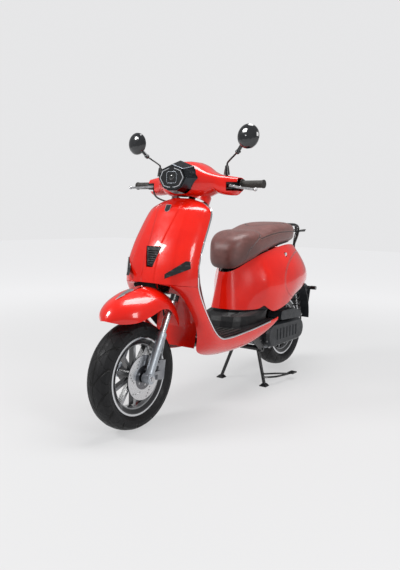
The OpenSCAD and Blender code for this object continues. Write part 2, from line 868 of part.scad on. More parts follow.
module lever(droop) {
    difference() {
        union() {
            translate(lever_pivot - [0, 0, 5.5])
                cylinder(r = 10, h = 11);
            hull() {
                translate(lever_pivot + [4, -6, -5])
                    cylinder(r = 5, h = 10);
                translate(lever_pivot + [64, -14, -6 - droop / 2])
                    cylinder(r = 5, h = 9);
            }
            hull() {
                translate(lever_pivot + [64, -14, -6 - droop / 2])
                    cylinder(r = 5, h = 9);
                translate(lever_pivot + [lever_len - 8, -12, -5 - droop])
                    cylinder(r = 5.5, h = 9);
            }
            translate(lever_pivot + [lever_len - 6, -12, -droop])
                sphere(r = 8);
        }
        translate(lever_pivot - [0, 0, 12])
            cylinder(r = 4 + play, h = 24);
    }
}

module brake_lever_left() on_bike() color("#b9bdc2") lever(18);

module brake_lever_right() on_bike() color("#b9bdc2") mirror([1, 0, 0]) lever(4);

FENDER = [
    [[0, -168, 484], [34, -164, 480], [56, -132, 472]],
    [[0, -158, 508], [64, -152, 500], [88, -104, 474]],
    [[0, -134, 540], [86, -126, 530], [108, -78, 480]],
    [[0, -95, 566], [104, -84, 556], [117, -45, 490]],
    [[0, -40, 588], [118, -28, 574], [122, 0, 505]],
    [[0, 20, 602], [126, 30, 586], [124, 45, 520]],
    [[0, 80, 604], [128, 84, 584], [124, 85, 516]],
    [[0, 124, 594], [124, 122, 574], [121, 118, 498]],
    [[0, 160, 574], [120, 156, 552], [118, 148, 466]],
    [[0, 186, 546], [116, 180, 524], [114, 172, 430]]
];

module front_fender() on_bike() color("#d8150c")
    difference() {
        panel(full_grid(FENDER, 18, 7), wall);
        on_axis(340)
            cylinder(r = stem_r + 1, h = 120);
        crown(0.6);
        for (x = [-fork_x, fork_x])
            translate([x, 0, 0])
                on_leg(crown_s - 160)
                    cylinder(r = stanchion_r + 1, h = 200);
    }

module fender_strip() on_bike() color("#cfd2d6")
    intersection() {
        between(offset_grid(full_grid(FENDER, 12, 6), -4), offset_grid(full_grid(FENDER, 12, 6), -1));
        translate([0, 0, 500])
            linear_extrude(height = 160)
                polygon([[0, -104], [10, -60], [14, -10], [12, 40], [7, 56], [-7, 56], [-12, 40], [-14, -10], [-10, -60]]);
    }

// Mirror stalk: rubber boot, upright and the bent arm.
mirror_foot = [190, 404, 1089];
mirror_knee = [191, 404, 1134];
mirror_ball = [256, 384, 1184];
mirror_mid = [mirror_x, 374, 1246];

module stalk() {
    translate(mirror_foot) {
        cylinder(r1 = 14, r2 = 8, h = 40);
        translate([0, 0, -44])
            cylinder(r = 6, h = 50);
    }
    cord(smooth([mirror_foot + [0, 0, 30], mirror_knee, [198, 402, 1146], mirror_ball], 12), 4.2, 10);
    translate(mirror_ball)
        sphere(r = 7);
}

module mirror_stalk_left() on_bike() color("#15161a") stalk();

module mirror_stalk_right() on_bike() color("#15161a") mirror([1, 0, 0]) stalk();

module mirror_head() {
    difference() {
        union() {
            translate(mirror_mid)
                rotate([90, 0, 0])
                    rotate_extrude()
                        polygon([[0, -9], [mirror_r - 4, -9], [mirror_r, -5], [mirror_r, 2],
                                 [mirror_r * 0.86, 10], [mirror_r * 0.6, 16], [mirror_r * 0.3, 19], [0, 20]]);
            rod(mirror_ball, mirror_mid + [-24, 0, -27], 8);
            translate(mirror_ball)
                sphere(r = 11);
            // Head of the friction screw on the tilt axis
            translate(mirror_ball + [8, 0, 0])
                rotate([0, 90, 0])
                    cylinder(r = 4, h = 6);
        }
        // Socket around the ball of the stalk
        translate(mirror_ball)
            sphere(r = 7 + play);
        rod(mirror_ball, mirror_ball - [30, -9.2, 22.8], 6.5);
    }
}

module mirror_head_left() on_bike() color("#17181b") mirror_head();

module mirror_head_right() on_bike() color("#17181b") mirror([1, 0, 0]) mirror_head();

module button_shape(x, z)
    translate([x, 457.5, z])
        rotate([-90, 0, 0])
            cylinder(r = 7, h = 13);

module starter_button() on_bike() color("#8d1a14") button_shape(-206, horn_z);

module horn_button() on_bike() color("#2a2b2d") button_shape(206, horn_z);

module indicator_switch() on_bike() color("#2a2b2d")
    translate([201, 456.5, switch_z - 4])
        cube([10, 14, 8]);

HOSE = [[-214, 388, 1030], [-200, 372, 1006], [-170, 362, 986], [-130, 366, 972], [-92, 372, 968],
        [-64, 372, 960], [-48, 352, 930], [-40, 320, 870], [-36, 272, 780], [-30, 228, 700],
        [-20, 190, 640], [16, 150, 600], [50, 124, 552], [66, 122, 500], [70, 130, 448]];

module brake_hose() on_bike() color("#141416")
    cord(smooth(HOSE, 48), 4, 6);

// ---------- front suspension and wheel ----------

module fork_sliders() on_bike() color("#a7abb0")
    for (x = [-fork_x, fork_x])
        difference() {
            union() {
                translate([x, 0, 0])
                    on_leg(6)
                        cylinder(r = slider_r, h = 196);
                translate([x, 0, 0])
                    on_leg(176)
                        cylinder(r = slider_r + 2.5, h = 22);
                translate([x - 19, 0, front_axle_z])
                    rotate([0, 90, 0])
                        cylinder(r = 22, h = 38);
            }
            translate([x, 0, 0])
                on_leg(50)
                    cylinder(r = stanchion_r + play, h = 200);
            translate([x - 40, 0, front_axle_z])
                rotate([0, 90, 0])
                    cylinder(r = axle_d / 2, h = 80);
        }

// Middle of the caliper, behind the disc.
caliper_at = [disc_x + disc_t / 2, 98, front_axle_z + 16];

module brake_caliper() on_bike() color("#8d9196") {
    difference() {
        union() {
            translate(caliper_at)
                rotate([-8, 0, 0])
                    translate([-16, -21, -42])
                        cube([34, 44, 84]);
            // Arms to the fork leg
            translate([fork_x - 14, 20, front_axle_z + 2])
                cube([10, 66, 14]);
            translate([fork_x - 14, 30, front_axle_z + 40])
                cube([10, 56, 12]);
        }
        across(0, front_axle_z)
            translate([0, 0, disc_x - 2])
                cylinder(r = disc_r + 4, h = disc_t + 4);
        translate([fork_x, 0, 0])
            on_leg(-30)
                cylinder(r = slider_r, h = 300);
        translate([0, 0, front_axle_z])
            rotate([0, 90, 0])
                cylinder(r = 22, h = 120);
    }
    cord(smooth([[72, 100, 284], [76, 108, 330], [76, 122, 390], [72, 130, 440]], 14), 3.5, 6);
}

module front_axle() on_bike() color("#9a9da1") {
    across(0, front_axle_z) {
        translate([0, 0, -fork_x - 24])
            cylinder(r = axle_d / 2, h = 2 * fork_x + 48);
        for (s = [-1, 1])
            translate([0, 0, s * (fork_x + 24) - 4])
                cylinder(r = 11, h = 8, $fn = 6);
        for (s = [-1, 1])
            difference() {
                translate([0, 0, s * (hub_half + fork_x - 19) / 2 - 8])
                    cylinder(r = 10, h = 16);
                cylinder(r = axle_d / 2 - 0.1, h = 300, center = true);
            }
    }
}

module tyre_profile()
    difference() {
        polygon([[rim_r - 14.8, -35], [rim_r - 2, -36], [rim_r + 2, -40], [rim_r + 14, -tyre_w * 0.46], [rim_r + 30, -tyre_w / 2],
                 [tyre_r - 18, -tyre_w * 0.47], [tyre_r - 7, -tyre_w * 0.33], [tyre_r - 1.5, -tyre_w * 0.16],
                 [tyre_r, 0], [tyre_r - 1.5, tyre_w * 0.16], [tyre_r - 7, tyre_w * 0.33],
                 [tyre_r - 18, tyre_w * 0.47], [rim_r + 30, tyre_w / 2], [rim_r + 14, tyre_w * 0.46],
                 [rim_r + 2, 40], [rim_r - 2, 36], [rim_r - 14.8, 35]]);
        polygon([[rim_r - 20, -27], [rim_r + 2, -33], [rim_r + 30, -tyre_w / 2 + 8], [tyre_r - 16, 12 - tyre_w / 2],
                 [tyre_r - 10, 0], [tyre_r - 16, tyre_w / 2 - 12], [rim_r + 30, tyre_w / 2 - 8],
                 [rim_r + 2, 33], [rim_r - 20, 27]]);
    }

module tyre() rotate_extrude($fn = 96) tyre_profile();

module rim(bore_r) {
    difference() {
        union() {
            rotate_extrude($fn = 96)
                polygon([[rim_r - 2, -36.5], [rim_r, -40.5], [rim_r - 3, -41], [rim_r - 12, -40],
                         [rim_r - 32, -30], [rim_r - 38, 0], [rim_r - 32, 30], [rim_r - 12, 40], [rim_r - 3, 41],
                         [rim_r, 40.5], [rim_r - 2, 36.5], [rim_r - 15, 35.5], [rim_r - 15, 26], [rim_r - 24, 22],
                         [rim_r - 24, -22], [rim_r - 15, -26], [rim_r - 15, -35.5]]);
            cylinder(r = 34, h = 2 * hub_half, center = true);
            for (k = [0 : spokes - 1])
                rotate([0, 0, 360 * k / spokes])
                    translate([26, -7, -13])
                        cube([rim_r - 26 - 34, 14, 26]);
        }
        cylinder(r = bore_r, h = 3 * hub_half, center = true);
    }
}

module front_tyre() on_bike() color("#1a1a1b") across(0, front_axle_z) tyre();

module front_rim() on_bike() color("#1f2022") across(0, front_axle_z) rim(axle_d / 2 + play);

module brake_disc() on_bike() color("#b4b7ba")
    across(0, front_axle_z)
        difference() {
            union() {
                translate([0, 0, disc_x])
                    cylinder(r = disc_r, h = disc_t);
                translate([0, 0, hub_half])
                    cylinder(r = 44, h = disc_x - hub_half + 1);
            }
            translate([0, 0, hub_half - 1])
                cylinder(r = 12, h = 30);
            for (k = [0 : 5])
                rotate([0, 0, 60 * k + 12])
                    for (n = [0 : 3])
                        rotate([0, 0, 9 * n])
                            translate([disc_r - 9 - 8 * n, 0, hub_half - 1])
                                cylinder(r = 3.2, h = 30);
        }

// ---------- engine and rear wheel ----------

crank_y = 1005;
crank_z = 262;

module engine_case() on_rear() color("#6f7377") {
    difference() {
        union() {
            // Crankcase
            hull() {
                across(crank_y, crank_z)
                    cylinder(r = 62, h = 136, center = true);
                across(944, 254)
                    cylinder(r = 42, h = 116, center = true);
            }
            // Cylinder and head
            translate([0, 916, 262])
                rotate([90, 0, 0])
                    cylinder(r = 42, h = 68);
            for (k = [0 : 4])
                translate([0, 892 - 10 * k, 262])
                    rotate([90, 0, 0])
                        cylinder(r = 50, h = 4);
            translate([-42, 800, 222])
                cube([84, 50, 80]);
            // Lug on the swing pivot
            hull() {
                across(swing_y, swing_z)
                    cylinder(r = 14, h = 160, center = true);
                across(966, 290)
                    cylinder(r = 20, h = 130, center = true);
            }
            // Inner half of the transmission case
            hull() {
                translate([66, 0, 0])
                    across(crank_y, crank_z)
                        cylinder(r = 74, h = 28);
                translate([66, 0, 0])
                    across(1310, rear_axle_z)
                        cylinder(r = 60, h = 28);
            }
            // Output shaft that carries the wheel
            across(1310, rear_axle_z)
                translate([0, 0, -58])
                    cylinder(r = 8.5, h = 140);
            across(1310, rear_axle_z)
                translate([0, 0, 56])
                    cylinder(r = 22, h = 20);
            // Cooling fan cover on the right
            translate([-96, 0, 0])
                across(crank_y, crank_z)
                    cylinder(r = 72, h = 30);
            // Lower shock bracket and its pin
            hull() {
                translate([68, 1336, 286])
                    rotate([0, 90, 0])
                        cylinder(r = 20, h = 14);
                translate([68, shock_low[1], shock_low[2]])
                    rotate([0, 90, 0])
                        cylinder(r = 11, h = 14);
            }
            translate([74, shock_low[1], shock_low[2]])
                rotate([0, 90, 0])
                    cylinder(r = 6, h = 32);
        }
        across(swing_y, swing_z)
            cylinder(r = 7 + play, h = 300, center = true);
    }
}

module cvt_cover() on_rear() color("#3c4146") {
    translate([94, 0, 0])
        difference() {
            hull() {
                across(crank_y, crank_z)
                    cylinder(r = 67, h = 30);
                across(crank_y, crank_z)
                    cylinder(r = 56, h = 46);
                across(1308, rear_axle_z)
                    cylinder(r = 66, h = 30);
                across(1308, rear_axle_z)
                    cylinder(r = 52, h = 46);
            }
            hull() {
                translate([-1, 0, 0])
                    across(crank_y, crank_z)
                        cylinder(r = 52, h = 42);
                translate([-1, 0, 0])
                    across(1308, rear_axle_z)
                        cylinder(r = 48, h = 42);
            }
        }
}

module air_box() on_rear() color("#2e3338")
    hull() {
        for (p = [[1050, 364, 18], [1050, 382, 14], [1264, 358, 18], [1268, 350, 14], [1190, 382, 14]])
            translate([80, 0, 0])
                across(p[0], p[1])
                    cylinder(r = p[2], h = 82);
    }

module exhaust() on_rear() color("#55585c") {
    cord(smooth([[-26, 826, 226], [-40, 826, 204], [-86, 830, 196], [-128, 846, 190], [-134, 900, 184], [-136, 970, 186],
                 [-142, 1030, 206], [-147, 1056, 221]], 24), 14, 10);
    rod([-148, 1050, 220], [-158, 1420, 306], 46);
    rod([-158, 1418, 305.5], [-160, 1440, 310.6], 38);
    rod([-160, 1436, 300], [-161, 1466, 308], 12);
    // Hanger to the crankcase
    hull() {
        translate([-104, 1020, 236])
            cube([9, 40, 24]);
        translate([-126, 1120, 226])
            cube([12, 30, 30]);
    }
}

module rear_tyre() on_rear() color("#1a1a1b") across(1310, rear_axle_z) tyre();

module rear_rim() on_rear() color("#1f2022") across(1310, rear_axle_z) rim(8.5 + play);

shock_low = [shock_x, 1378, 306];
shock_dir = (shock_top - shock_low) / norm(shock_top - shock_low);
rod_r = 7;
rod_gap = 0.8;

module shock_eye(at, bore_r)
    difference() {
        children();
        translate(at - [20, 0, 0])
            rotate([0, 90, 0])
                cylinder(r = bore_r + play, h = 40);
    }

module shock_body() on_rear() color("#4a4d51")
    shock_eye(shock_top, 6)
        difference() {
            union() {
                rod(shock_top - 128 * shock_dir, shock_top - 12 * shock_dir, 16);
                rod(shock_top - 24 * shock_dir, shock_top - 18 * shock_dir, 28);
                translate(shock_top - [9, 0, 0])
                    rotate([0, 90, 0])
                        cylinder(r = 14, h = 18);
            }
            rod(shock_top - 130 * shock_dir, shock_top - 30 * shock_dir, rod_r + rod_gap);
        }

module shock_rod() on_rear() color("#aeb1b5")
    shock_eye(shock_low, 6) {
        rod(shock_low + 8 * shock_dir, shock_top - 118 * shock_dir, rod_r);
        rod(shock_low + 22 * shock_dir, shock_low + 28 * shock_dir, 28);
        translate(shock_low - [9, 0, 0])
            rotate([0, 90, 0])
                cylinder(r = 14, h = 18);
    }

module shock_spring() on_rear() color("#26282b")
    cord([for (i = [0 : 84]) let (f = i / 84, a = 360 * 7 * f)
        shock_low + (32 + (norm(shock_top - shock_low) - 60) * f) * shock_dir
        + 22 * [cos(a), sin(a) * shock_dir[2], -sin(a) * shock_dir[1]]], 3.4, 6);

// ---------- stand and seat ----------

module centre_stand() translate([0, front_y, 0]) color("#1b1c1e") {
    pivot_z = stand_pivot_z + raise;
    y0 = stretched(stand_pivot_y);
    difference() {
        union() {
            translate([-86, y0, pivot_z])
                rotate([0, 90, 0])
                    cylinder(r = 14, h = 172);
            both_sides() {
                rod([76, y0, pivot_z], [foot_x - 2, y0 - 24, 14], stand_r);
                hull() {
                    translate([foot_x - 20, y0 - 46, 0])
                        cube([40, 40, 4]);
                    translate([foot_x - 8, y0 - 34, 10])
                        cube([16, 20, 6]);
                }
            }
            // Foot pedal
            cord(smooth([[foot_x - 8, y0 - 24, 46], [foot_x + 34, y0 + 36, 44], [foot_x + 42, y0 + 156, 34],
                         [foot_x + 50, y0 + 216, 34]], 14), 5.5, 8);
            cord(smooth([[foot_x - 12, y0 - 24, 64], [foot_x + 30, y0 + 42, 60], [foot_x + 42, y0 + 158, 38]], 10), 5, 8);
            translate([foot_x + 34, y0 + 178, 33])
                cube([34, 52, 7]);
        }
        translate([-100, y0, pivot_z])
            rotate([0, 90, 0])
                cylinder(r = 6 + play, h = 200);
    }
}

// Half width, bottom rise and top height of the seat from its nose to its tail.
SEAT_AT = [656, 664, 684, 720, 770, 830, 880, 940, 1000, 1070, 1140, 1210, 1260, 1290, 1305, 1312];
SEAT_BOX = [
    [40, 60, 100], [62, 34, 123], [86, 12, 147], [108, 4, 150], [124, 2, 143], [134, 2, 127], [138, 2, 112],
    [140, 2, 110], [140, 2, 113], [138, 2, 112], [134, 2, 109], [125, 2, 106], [111, 2, 101], [95, 4, 94],
    [77, 8, 80], [54, 22, 60]
];

function seat_rings(n) = [for (i = [0 : n]) let (u = i * (len(SEAT_AT) - 1) / n,
    y = along([for (a = SEAT_AT) [a]], u)[0], box = along(SEAT_BOX, u), base = seat_base(y))
    ring_xz(stretched(y), [box[0] * seat_half / 140, base + box[1], base + box[2]], 26, 0.55)];

module seat_cushion() on_bike() color("#5e3430")
    difference() {
        skinned(seat_rings(40));
        pan_shape();
    }

module pan_shape() {
    hull() {
        for (p = [[50, 712], [86, 790]])
            for (x = [-p[0], p[0]])
                translate([x, stretched(p[1]), seat_base(p[1]) - 5])
                    cylinder(r = 12, h = 6, $fn = 24);
    }
    hull() {
        for (p = [[86, 790], [92, 960]])
            for (x = [-p[0], p[0]])
                translate([x, stretched(p[1]), seat_base(p[1]) - 5])
                    cylinder(r = 12, h = 6, $fn = 24);
    }
    hull() {
        for (p = [[92, 960], [88, 1180], [60, 1260]])
            for (x = [-p[0], p[0]])
                translate([x, stretched(p[1]), seat_base(p[1]) - 5])
                    cylinder(r = 12, h = 6, $fn = 24);
    }
    for (x = [-18, 18])
        hull() {
            translate([x - 5, stretched(seat_hinge_y), seat_hinge_z])
                rotate([0, 90, 0])
                    cylinder(r = 9, h = 10);
            translate([x - 5, stretched(seat_hinge_y) + 12, seat_base(seat_hinge_y + 12) - 4])
                cube([10, 26, 4]);
        }
    translate([-40, stretched(seat_hinge_y), seat_hinge_z])
        rotate([0, 90, 0])
            cylinder(r = 4, h = 80);
}

module seat_pan() on_bike() color("#18191b") pan_shape();

// ---------- assembly ----------

frame();
head_bearings();
leg_shield();
side_skirts();
wheel_well();
shield_inner();
edge_trim();
horn_grille();
turn_signals();
floor_board();
floor_mat();
side_cowl_left();
side_cowl_right();
tail_light();
rear_mudguard();
grab_rail();
storage_bin();
fuel_tank();
ignition_lock();
seat_lock();
steering_stem();
fork_stanchions();
handlebar();
handlebar_cowl();
headlight_bezel();
headlight_lens();
instrument_cluster();
left_grip();
brake_perches();
front_fender();
fender_strip();
throttle_grip();
brake_lever_left();
brake_lever_right();
mirror_stalk_left();
mirror_stalk_right();
mirror_head_left();
mirror_head_right();
starter_button();
horn_button();
indicator_switch();
brake_hose();
fork_sliders();
brake_caliper();
front_axle();
front_tyre();
front_rim();
brake_disc();
engine_case();
cvt_cover();
air_box();
exhaust();
rear_tyre();
rear_rim();
shock_body();
shock_rod();
shock_spring();
centre_stand();
seat_cushion();
seat_pan();
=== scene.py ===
# %% [markdown]
# # A step-through motor scooter
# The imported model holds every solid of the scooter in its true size, so this script starts by
# loading it and keeps its box. Everything made here lies in the same frame, in metres: the front
# of the scooter is -Y, the rider's left is +X and the ground is Z = 0.

# %% Load the frame
import json
from math import cos, radians, sin

import bmesh
import bpy
from mathutils import Matrix, Vector


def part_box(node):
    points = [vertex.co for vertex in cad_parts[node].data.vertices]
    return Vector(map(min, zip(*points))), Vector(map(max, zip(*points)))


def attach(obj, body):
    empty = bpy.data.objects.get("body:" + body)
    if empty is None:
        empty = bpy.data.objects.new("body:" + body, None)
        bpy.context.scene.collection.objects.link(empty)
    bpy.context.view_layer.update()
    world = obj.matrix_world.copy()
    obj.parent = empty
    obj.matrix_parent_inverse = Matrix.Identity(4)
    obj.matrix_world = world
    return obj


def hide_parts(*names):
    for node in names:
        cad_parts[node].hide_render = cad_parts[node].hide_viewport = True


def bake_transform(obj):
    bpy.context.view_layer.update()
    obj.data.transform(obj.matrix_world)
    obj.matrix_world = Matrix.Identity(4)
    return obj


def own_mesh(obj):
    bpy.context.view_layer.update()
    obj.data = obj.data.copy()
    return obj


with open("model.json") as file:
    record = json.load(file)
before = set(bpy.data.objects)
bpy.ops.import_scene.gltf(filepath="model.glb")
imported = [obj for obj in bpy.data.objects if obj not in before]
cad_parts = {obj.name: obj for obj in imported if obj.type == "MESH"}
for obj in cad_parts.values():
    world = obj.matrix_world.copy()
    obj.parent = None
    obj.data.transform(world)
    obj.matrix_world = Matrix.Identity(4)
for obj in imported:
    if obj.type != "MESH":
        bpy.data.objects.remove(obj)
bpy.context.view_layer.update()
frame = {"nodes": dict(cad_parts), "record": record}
scene = bpy.context.scene

# %% [markdown]
# The drawing of the scooter measures back from the front axle. One shift turns such a length
# into this frame, so every place below can be read in millimetres from the axle.

# %% Places
AXLE_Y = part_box("front_axle")[0][1] / 2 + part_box("front_axle")[1][1] / 2


def at(x, y, z):
    """A point given in millimetres from the front axle and the ground."""
    return Vector((x / 1000, AXLE_Y + y / 1000, z / 1000))


print("front axle at y =", round(AXLE_Y, 4))

# %% [markdown]
# ## Camera, floor and light
# The camera stands in front of the scooter on its left, a little above the seat and almost
# level. A pale floor, a white surround and three large soft lamps give the long, clean
# reflections that glossy paint needs. Large lamps far away make soft shadows.

# %% Camera
TURN, DIP, ROLL = radians(35.16), radians(6.754), radians(1.173)
SENSOR, LENS = 36, 37.26
STAND = at(1631.2, -1831.1, 908.8)
forward = Vector((-sin(TURN) * cos(DIP), cos(TURN) * cos(DIP), -sin(DIP)))
side = forward.cross(Vector((0, 0, 1))).normalized()
up = side.cross(forward)
right = side * cos(ROLL) + up * sin(ROLL)
top = up * cos(ROLL) - side * sin(ROLL)
camera = bpy.data.objects.new("camera", bpy.data.cameras.new("camera"))
camera.matrix_world = Matrix.Translation(STAND) @ Matrix(
    (right, top, -forward)).transposed().to_4x4()
camera.data.sensor_fit = "VERTICAL"
camera.data.sensor_height = SENSOR
camera.data.lens = LENS
scene.collection.objects.link(camera)
scene.camera = camera
scene.view_settings.view_transform = "Standard"

# %% [markdown]
# ## Shader arithmetic
# A node tree is easier to read as arithmetic. The class below wraps one socket, and each
# operator adds a Math node, so `1 - abs(x) * 3` is a shader. Every other node comes from the
# method `node`.

# %% A socket that does sums


class Signal:
    """One shader socket, usable in Python expressions."""

    def __init__(self, tree, socket):
        self.tree = tree
        self.socket = socket

    def node(self, kind, settings=None, inputs=None, out=0):
        made = self.tree.nodes.new(kind)
        for name, value in (settings or {}).items():
            if name == "stops":
                for place, tone in value:
                    if place in (0.0, 1.0):
                        stop = made.color_ramp.elements[int(place)]
                    else:
                        stop = made.color_ramp.elements.new(place)
                    stop.color = tone
            else:
                setattr(made, name, value)
        for name, value in (inputs or {}).items():
            if isinstance(value, Signal):
                self.tree.links.new(value.socket, made.inputs[name])
            else:
                made.inputs[name].default_value = value
        return Signal(self.tree, made.outputs[out])

    def math(self, operation, *others):
        return self.node("ShaderNodeMath", {"operation": operation},
                         dict(enumerate((self,) + others)))

    def __add__(self, other):
        return self.math("ADD", other)

    def __sub__(self, other):
        return self.math("SUBTRACT", other)

    def __rsub__(self, other):
        return self.node("ShaderNodeMath", {"operation": "SUBTRACT"}, {0: other, 1: self})

    def __mul__(self, other):
        return self.math("MULTIPLY", other)

    def __truediv__(self, other):
        return self.math("DIVIDE", other)

    def __abs__(self):
        return self.math("ABSOLUTE")

    __radd__ = __add__
    __rmul__ = __mul__

    def xyz(self):
        return [self.node("ShaderNodeSeparateXYZ", {}, {0: self}, axis) for axis in "XYZ"]

    def from_point(self, point):
        return self.node("ShaderNodeVectorMath", {"operation": "SUBTRACT"}, {0: self, 1: point})

    def noise(self, scale, detail=3.0):
        return self.node("ShaderNodeTexNoise", {}, {"Vector": self, "Scale": scale, "Detail": detail})

    def grain(self, scale):
        return self.node("ShaderNodeTexVoronoi", {}, {"Vector": self, "Scale": scale})

    def ease(self, low, high, to_low=0.0, to_high=1.0):
        return self.node("ShaderNodeMapRange", {"interpolation_type": "SMOOTHSTEP"},
                         {0: self, 1: low, 2: high, 3: to_low, 4: to_high})

    def shade(self, first, second):
        return self.node("ShaderNodeMix", {"data_type": "RGBA"}, {0: self, 6: first, 7: second}, 2)


print("Signal ready")

# %% [markdown]
# A finish is one Principled shader. What is the same all over the surface is set on the shader,
# and what changes over it comes from a function of the place, which returns the sockets to
# drive. A height drives a Bump node.

# %% Finishes from a function of place


def finish(name, vary=None, **fixed):
    made = bpy.data.materials.new(name)
    made.use_nodes = True
    tree = made.node_tree
    shader = tree.nodes["Principled BSDF"]
    for key, value in fixed.items():
        shader.inputs[key.replace("_", " ")].default_value = value
    if vary:
        place = Signal(tree, tree.nodes.new("ShaderNodeTexCoord").outputs["Object"])
        drive = vary(place)
        if "Height" in drive:
            height, depth = drive.pop("Height")
            drive["Normal"] = place.node("ShaderNodeBump", {}, {"Height": height, "Distance": depth,
                                                                "Strength": 1.0})
        for key, signal in drive.items():
            tree.links.new(signal.socket, shader.inputs[key])
    return made


def tone(r, g, b):
    return (r, g, b, 1.0)


# %% [markdown]
# ### Red paint
# The panels are moulded plastic under solid red paint and a clear coat. Real paint has a faint
# orange peel, and its colour drifts a little. The front shield also has two creases that fall
# from the badge towards the grille and leave a raised spine, and each side cowl has a shallow
# oval pressed into it. They are a few millimetres deep, so a bump shows them well.

# %% Red paint
RED = tone(0.74, 0.010, 0.002)
RED_DEEP = tone(0.64, 0.006, 0.001)


def painted(place, relief=None):
    drift = place.noise(6.0).ease(0.35, 0.65)
    peel = place.noise(260.0, 1.0) * 0.00006
    height = peel if relief is None else relief + peel
    return {"Base Color": drift.shade(RED, RED_DEEP),
            "Roughness": place.noise(30.0).ease(0.3, 0.7, 0.20, 0.27),
            "Height": (height, 1.0)}


def spine(place):
    """A raised band down the middle of the shield, wide above and narrow below."""
    x, y, z = place.xyz()
    half = (z - 0.76).ease(0.0, 0.20, 0.034, 0.058)
    band = (abs(x) - half).ease(-0.006, 0.006, 1.0, 0.0)
    wing = (abs(x) - (0.128 - (z - 0.60) * 0.10)).ease(-0.010, 0.010, 1.0, 0.0)
    return band * 0.0035 + wing * 0.0025


def oval(place):
    """A shallow oval step on the side of the cowl."""
    x, y, z = place.from_point(at(0, 1230, 590)).xyz()
    across = y / 0.235
    height = (z - y * 0.12) / 0.125
    reach = (across * across + height * height).math("SQRT")
    return reach.ease(0.93, 1.03, 0.0, 0.007)


def coated(name, relief=None):
    return finish(name, lambda place: painted(place, relief and relief(place)),
                  Coat_Weight=0.7, Coat_Roughness=0.03, Specular_IOR_Level=0.3)


red_paint = coated("red_paint")
red_shield = coated("red_shield", spine)
red_cowl = coated("red_cowl", oval)
print("red paint: 3 kinds")

# %% [markdown]
# ### Plastics, rubber and metals
# Moulded plastic has a fine texture from its mould. Cast alloy is pebbled by the sand or the
# die, and machined steel is drawn round in fine rings. Each finish gets its own grain at its
# true size, a slight change of colour and a slight change of gloss.

# %% Plastics and rubber


def moulded(name, colour, worn, rough, size=900.0, depth=0.00012, coat=0.0):
    def vary(place):
        return {"Base Color": place.noise(14.0).ease(0.35, 0.7).shade(colour, worn),
                "Roughness": place.noise(60.0).ease(0.3, 0.7, rough - 0.05, rough + 0.07),
                "Height": (place.grain(size) * depth, 1.0)}
    return finish(name, vary, Coat_Weight=coat, Coat_Roughness=0.05, Specular_IOR_Level=0.3)


black_plastic = moulded("black_plastic", tone(0.006, 0.006, 0.007), tone(0.012, 0.012, 0.013), 0.42)
grey_plastic = moulded("grey_plastic", tone(0.014, 0.016, 0.019), tone(0.024, 0.027, 0.031), 0.38)
gloss_black = moulded("gloss_black", tone(0.008, 0.009, 0.011), tone(0.014, 0.015, 0.017), 0.14,
                      400.0, 0.00003, 1.0)
satin_black = moulded("satin_black_steel", tone(0.007, 0.007, 0.008), tone(0.015, 0.015, 0.016), 0.30,
                      600.0, 0.00006, 0.4)
hose_rubber = moulded("hose_rubber", tone(0.010, 0.010, 0.010), tone(0.018, 0.018, 0.018), 0.5)


def ribbed_rubber(place):
    x, y, z = place.xyz()
    rib = (x * 900.0).math("SINE").ease(-0.3, 0.6)
    return {"Base Color": rib.shade(tone(0.014, 0.013, 0.011), tone(0.036, 0.033, 0.028)),
            "Roughness": place.noise(80.0).ease(0.3, 0.7, 0.55, 0.75),
            "Height": (rib * 0.0009 + place.grain(700.0) * 0.0001, 1.0)}


grip_rubber = finish("grip_rubber", ribbed_rubber)


def mat_rubber_look(place):
    x, y, z = place.xyz()
    groove = (y * 420.0).math("SINE").ease(0.2, 0.7)
    return {"Base Color": place.noise(20.0).ease(0.3, 0.7).shade(tone(0.010, 0.011, 0.011),
                                                               tone(0.022, 0.024, 0.024)),
            "Roughness": place.noise(50.0).ease(0.3, 0.7, 0.30, 0.45),
            "Height": (groove * 0.0008 + place.grain(800.0) * 0.0001, 1.0)}


mat_rubber = finish("mat_rubber", mat_rubber_look)
print("plastics and rubbers: 7 kinds")

# %% Metals


def metal(name, colour, worn, rough, size=120.0, depth=0.00008):
    def vary(place):
        return {"Base Color": place.noise(22.0).ease(0.3, 0.7).shade(colour, worn),
                "Roughness": place.noise(70.0).ease(0.3, 0.7, rough - 0.05, rough + 0.08),
                "Height": (place.noise(size * 8.0) * depth, 1.0)}
    return finish(name, vary, Metallic=1.0)


dark_chrome = metal("dark_chrome", tone(0.060, 0.066, 0.074), tone(0.045, 0.050, 0.056), 0.16, 30.0, 0.00002)
chrome = metal("chrome", tone(0.80, 0.81, 0.83), tone(0.70, 0.71, 0.73), 0.09, 30.0, 0.00002)
steel = metal("ground_steel", tone(0.56, 0.56, 0.57), tone(0.46, 0.46, 0.47), 0.28)
cast_alloy = metal("cast_alloy", tone(0.34, 0.35, 0.37), tone(0.24, 0.25, 0.27), 0.45, 240.0, 0.0004)
silver_paint = metal("silver_paint", tone(0.46, 0.49, 0.53), tone(0.40, 0.43, 0.47), 0.42, 60.0, 0.00002)
spring_steel = metal("spring_steel", tone(0.05, 0.05, 0.055), tone(0.09, 0.09, 0.095), 0.35)
mirror_glass = finish("mirror_glass", lambda place: {
    "Roughness": place.noise(20.0).ease(0.3, 0.7, 0.01, 0.03)}, Base_Color=tone(0.86, 0.88, 0.90),
    Metallic=1.0)
print("metals: 7 kinds")

# %% [markdown]
# ### Tyres, rims and the brake disc
# These turn round the wheel's axle, so their patterns use the distance from the axle and the
# angle round it. The tread is a row of slanted grooves that fade before the sidewall, and the
# rim is gloss black with a lip that was turned bright on a lathe.

# %% Round patterns


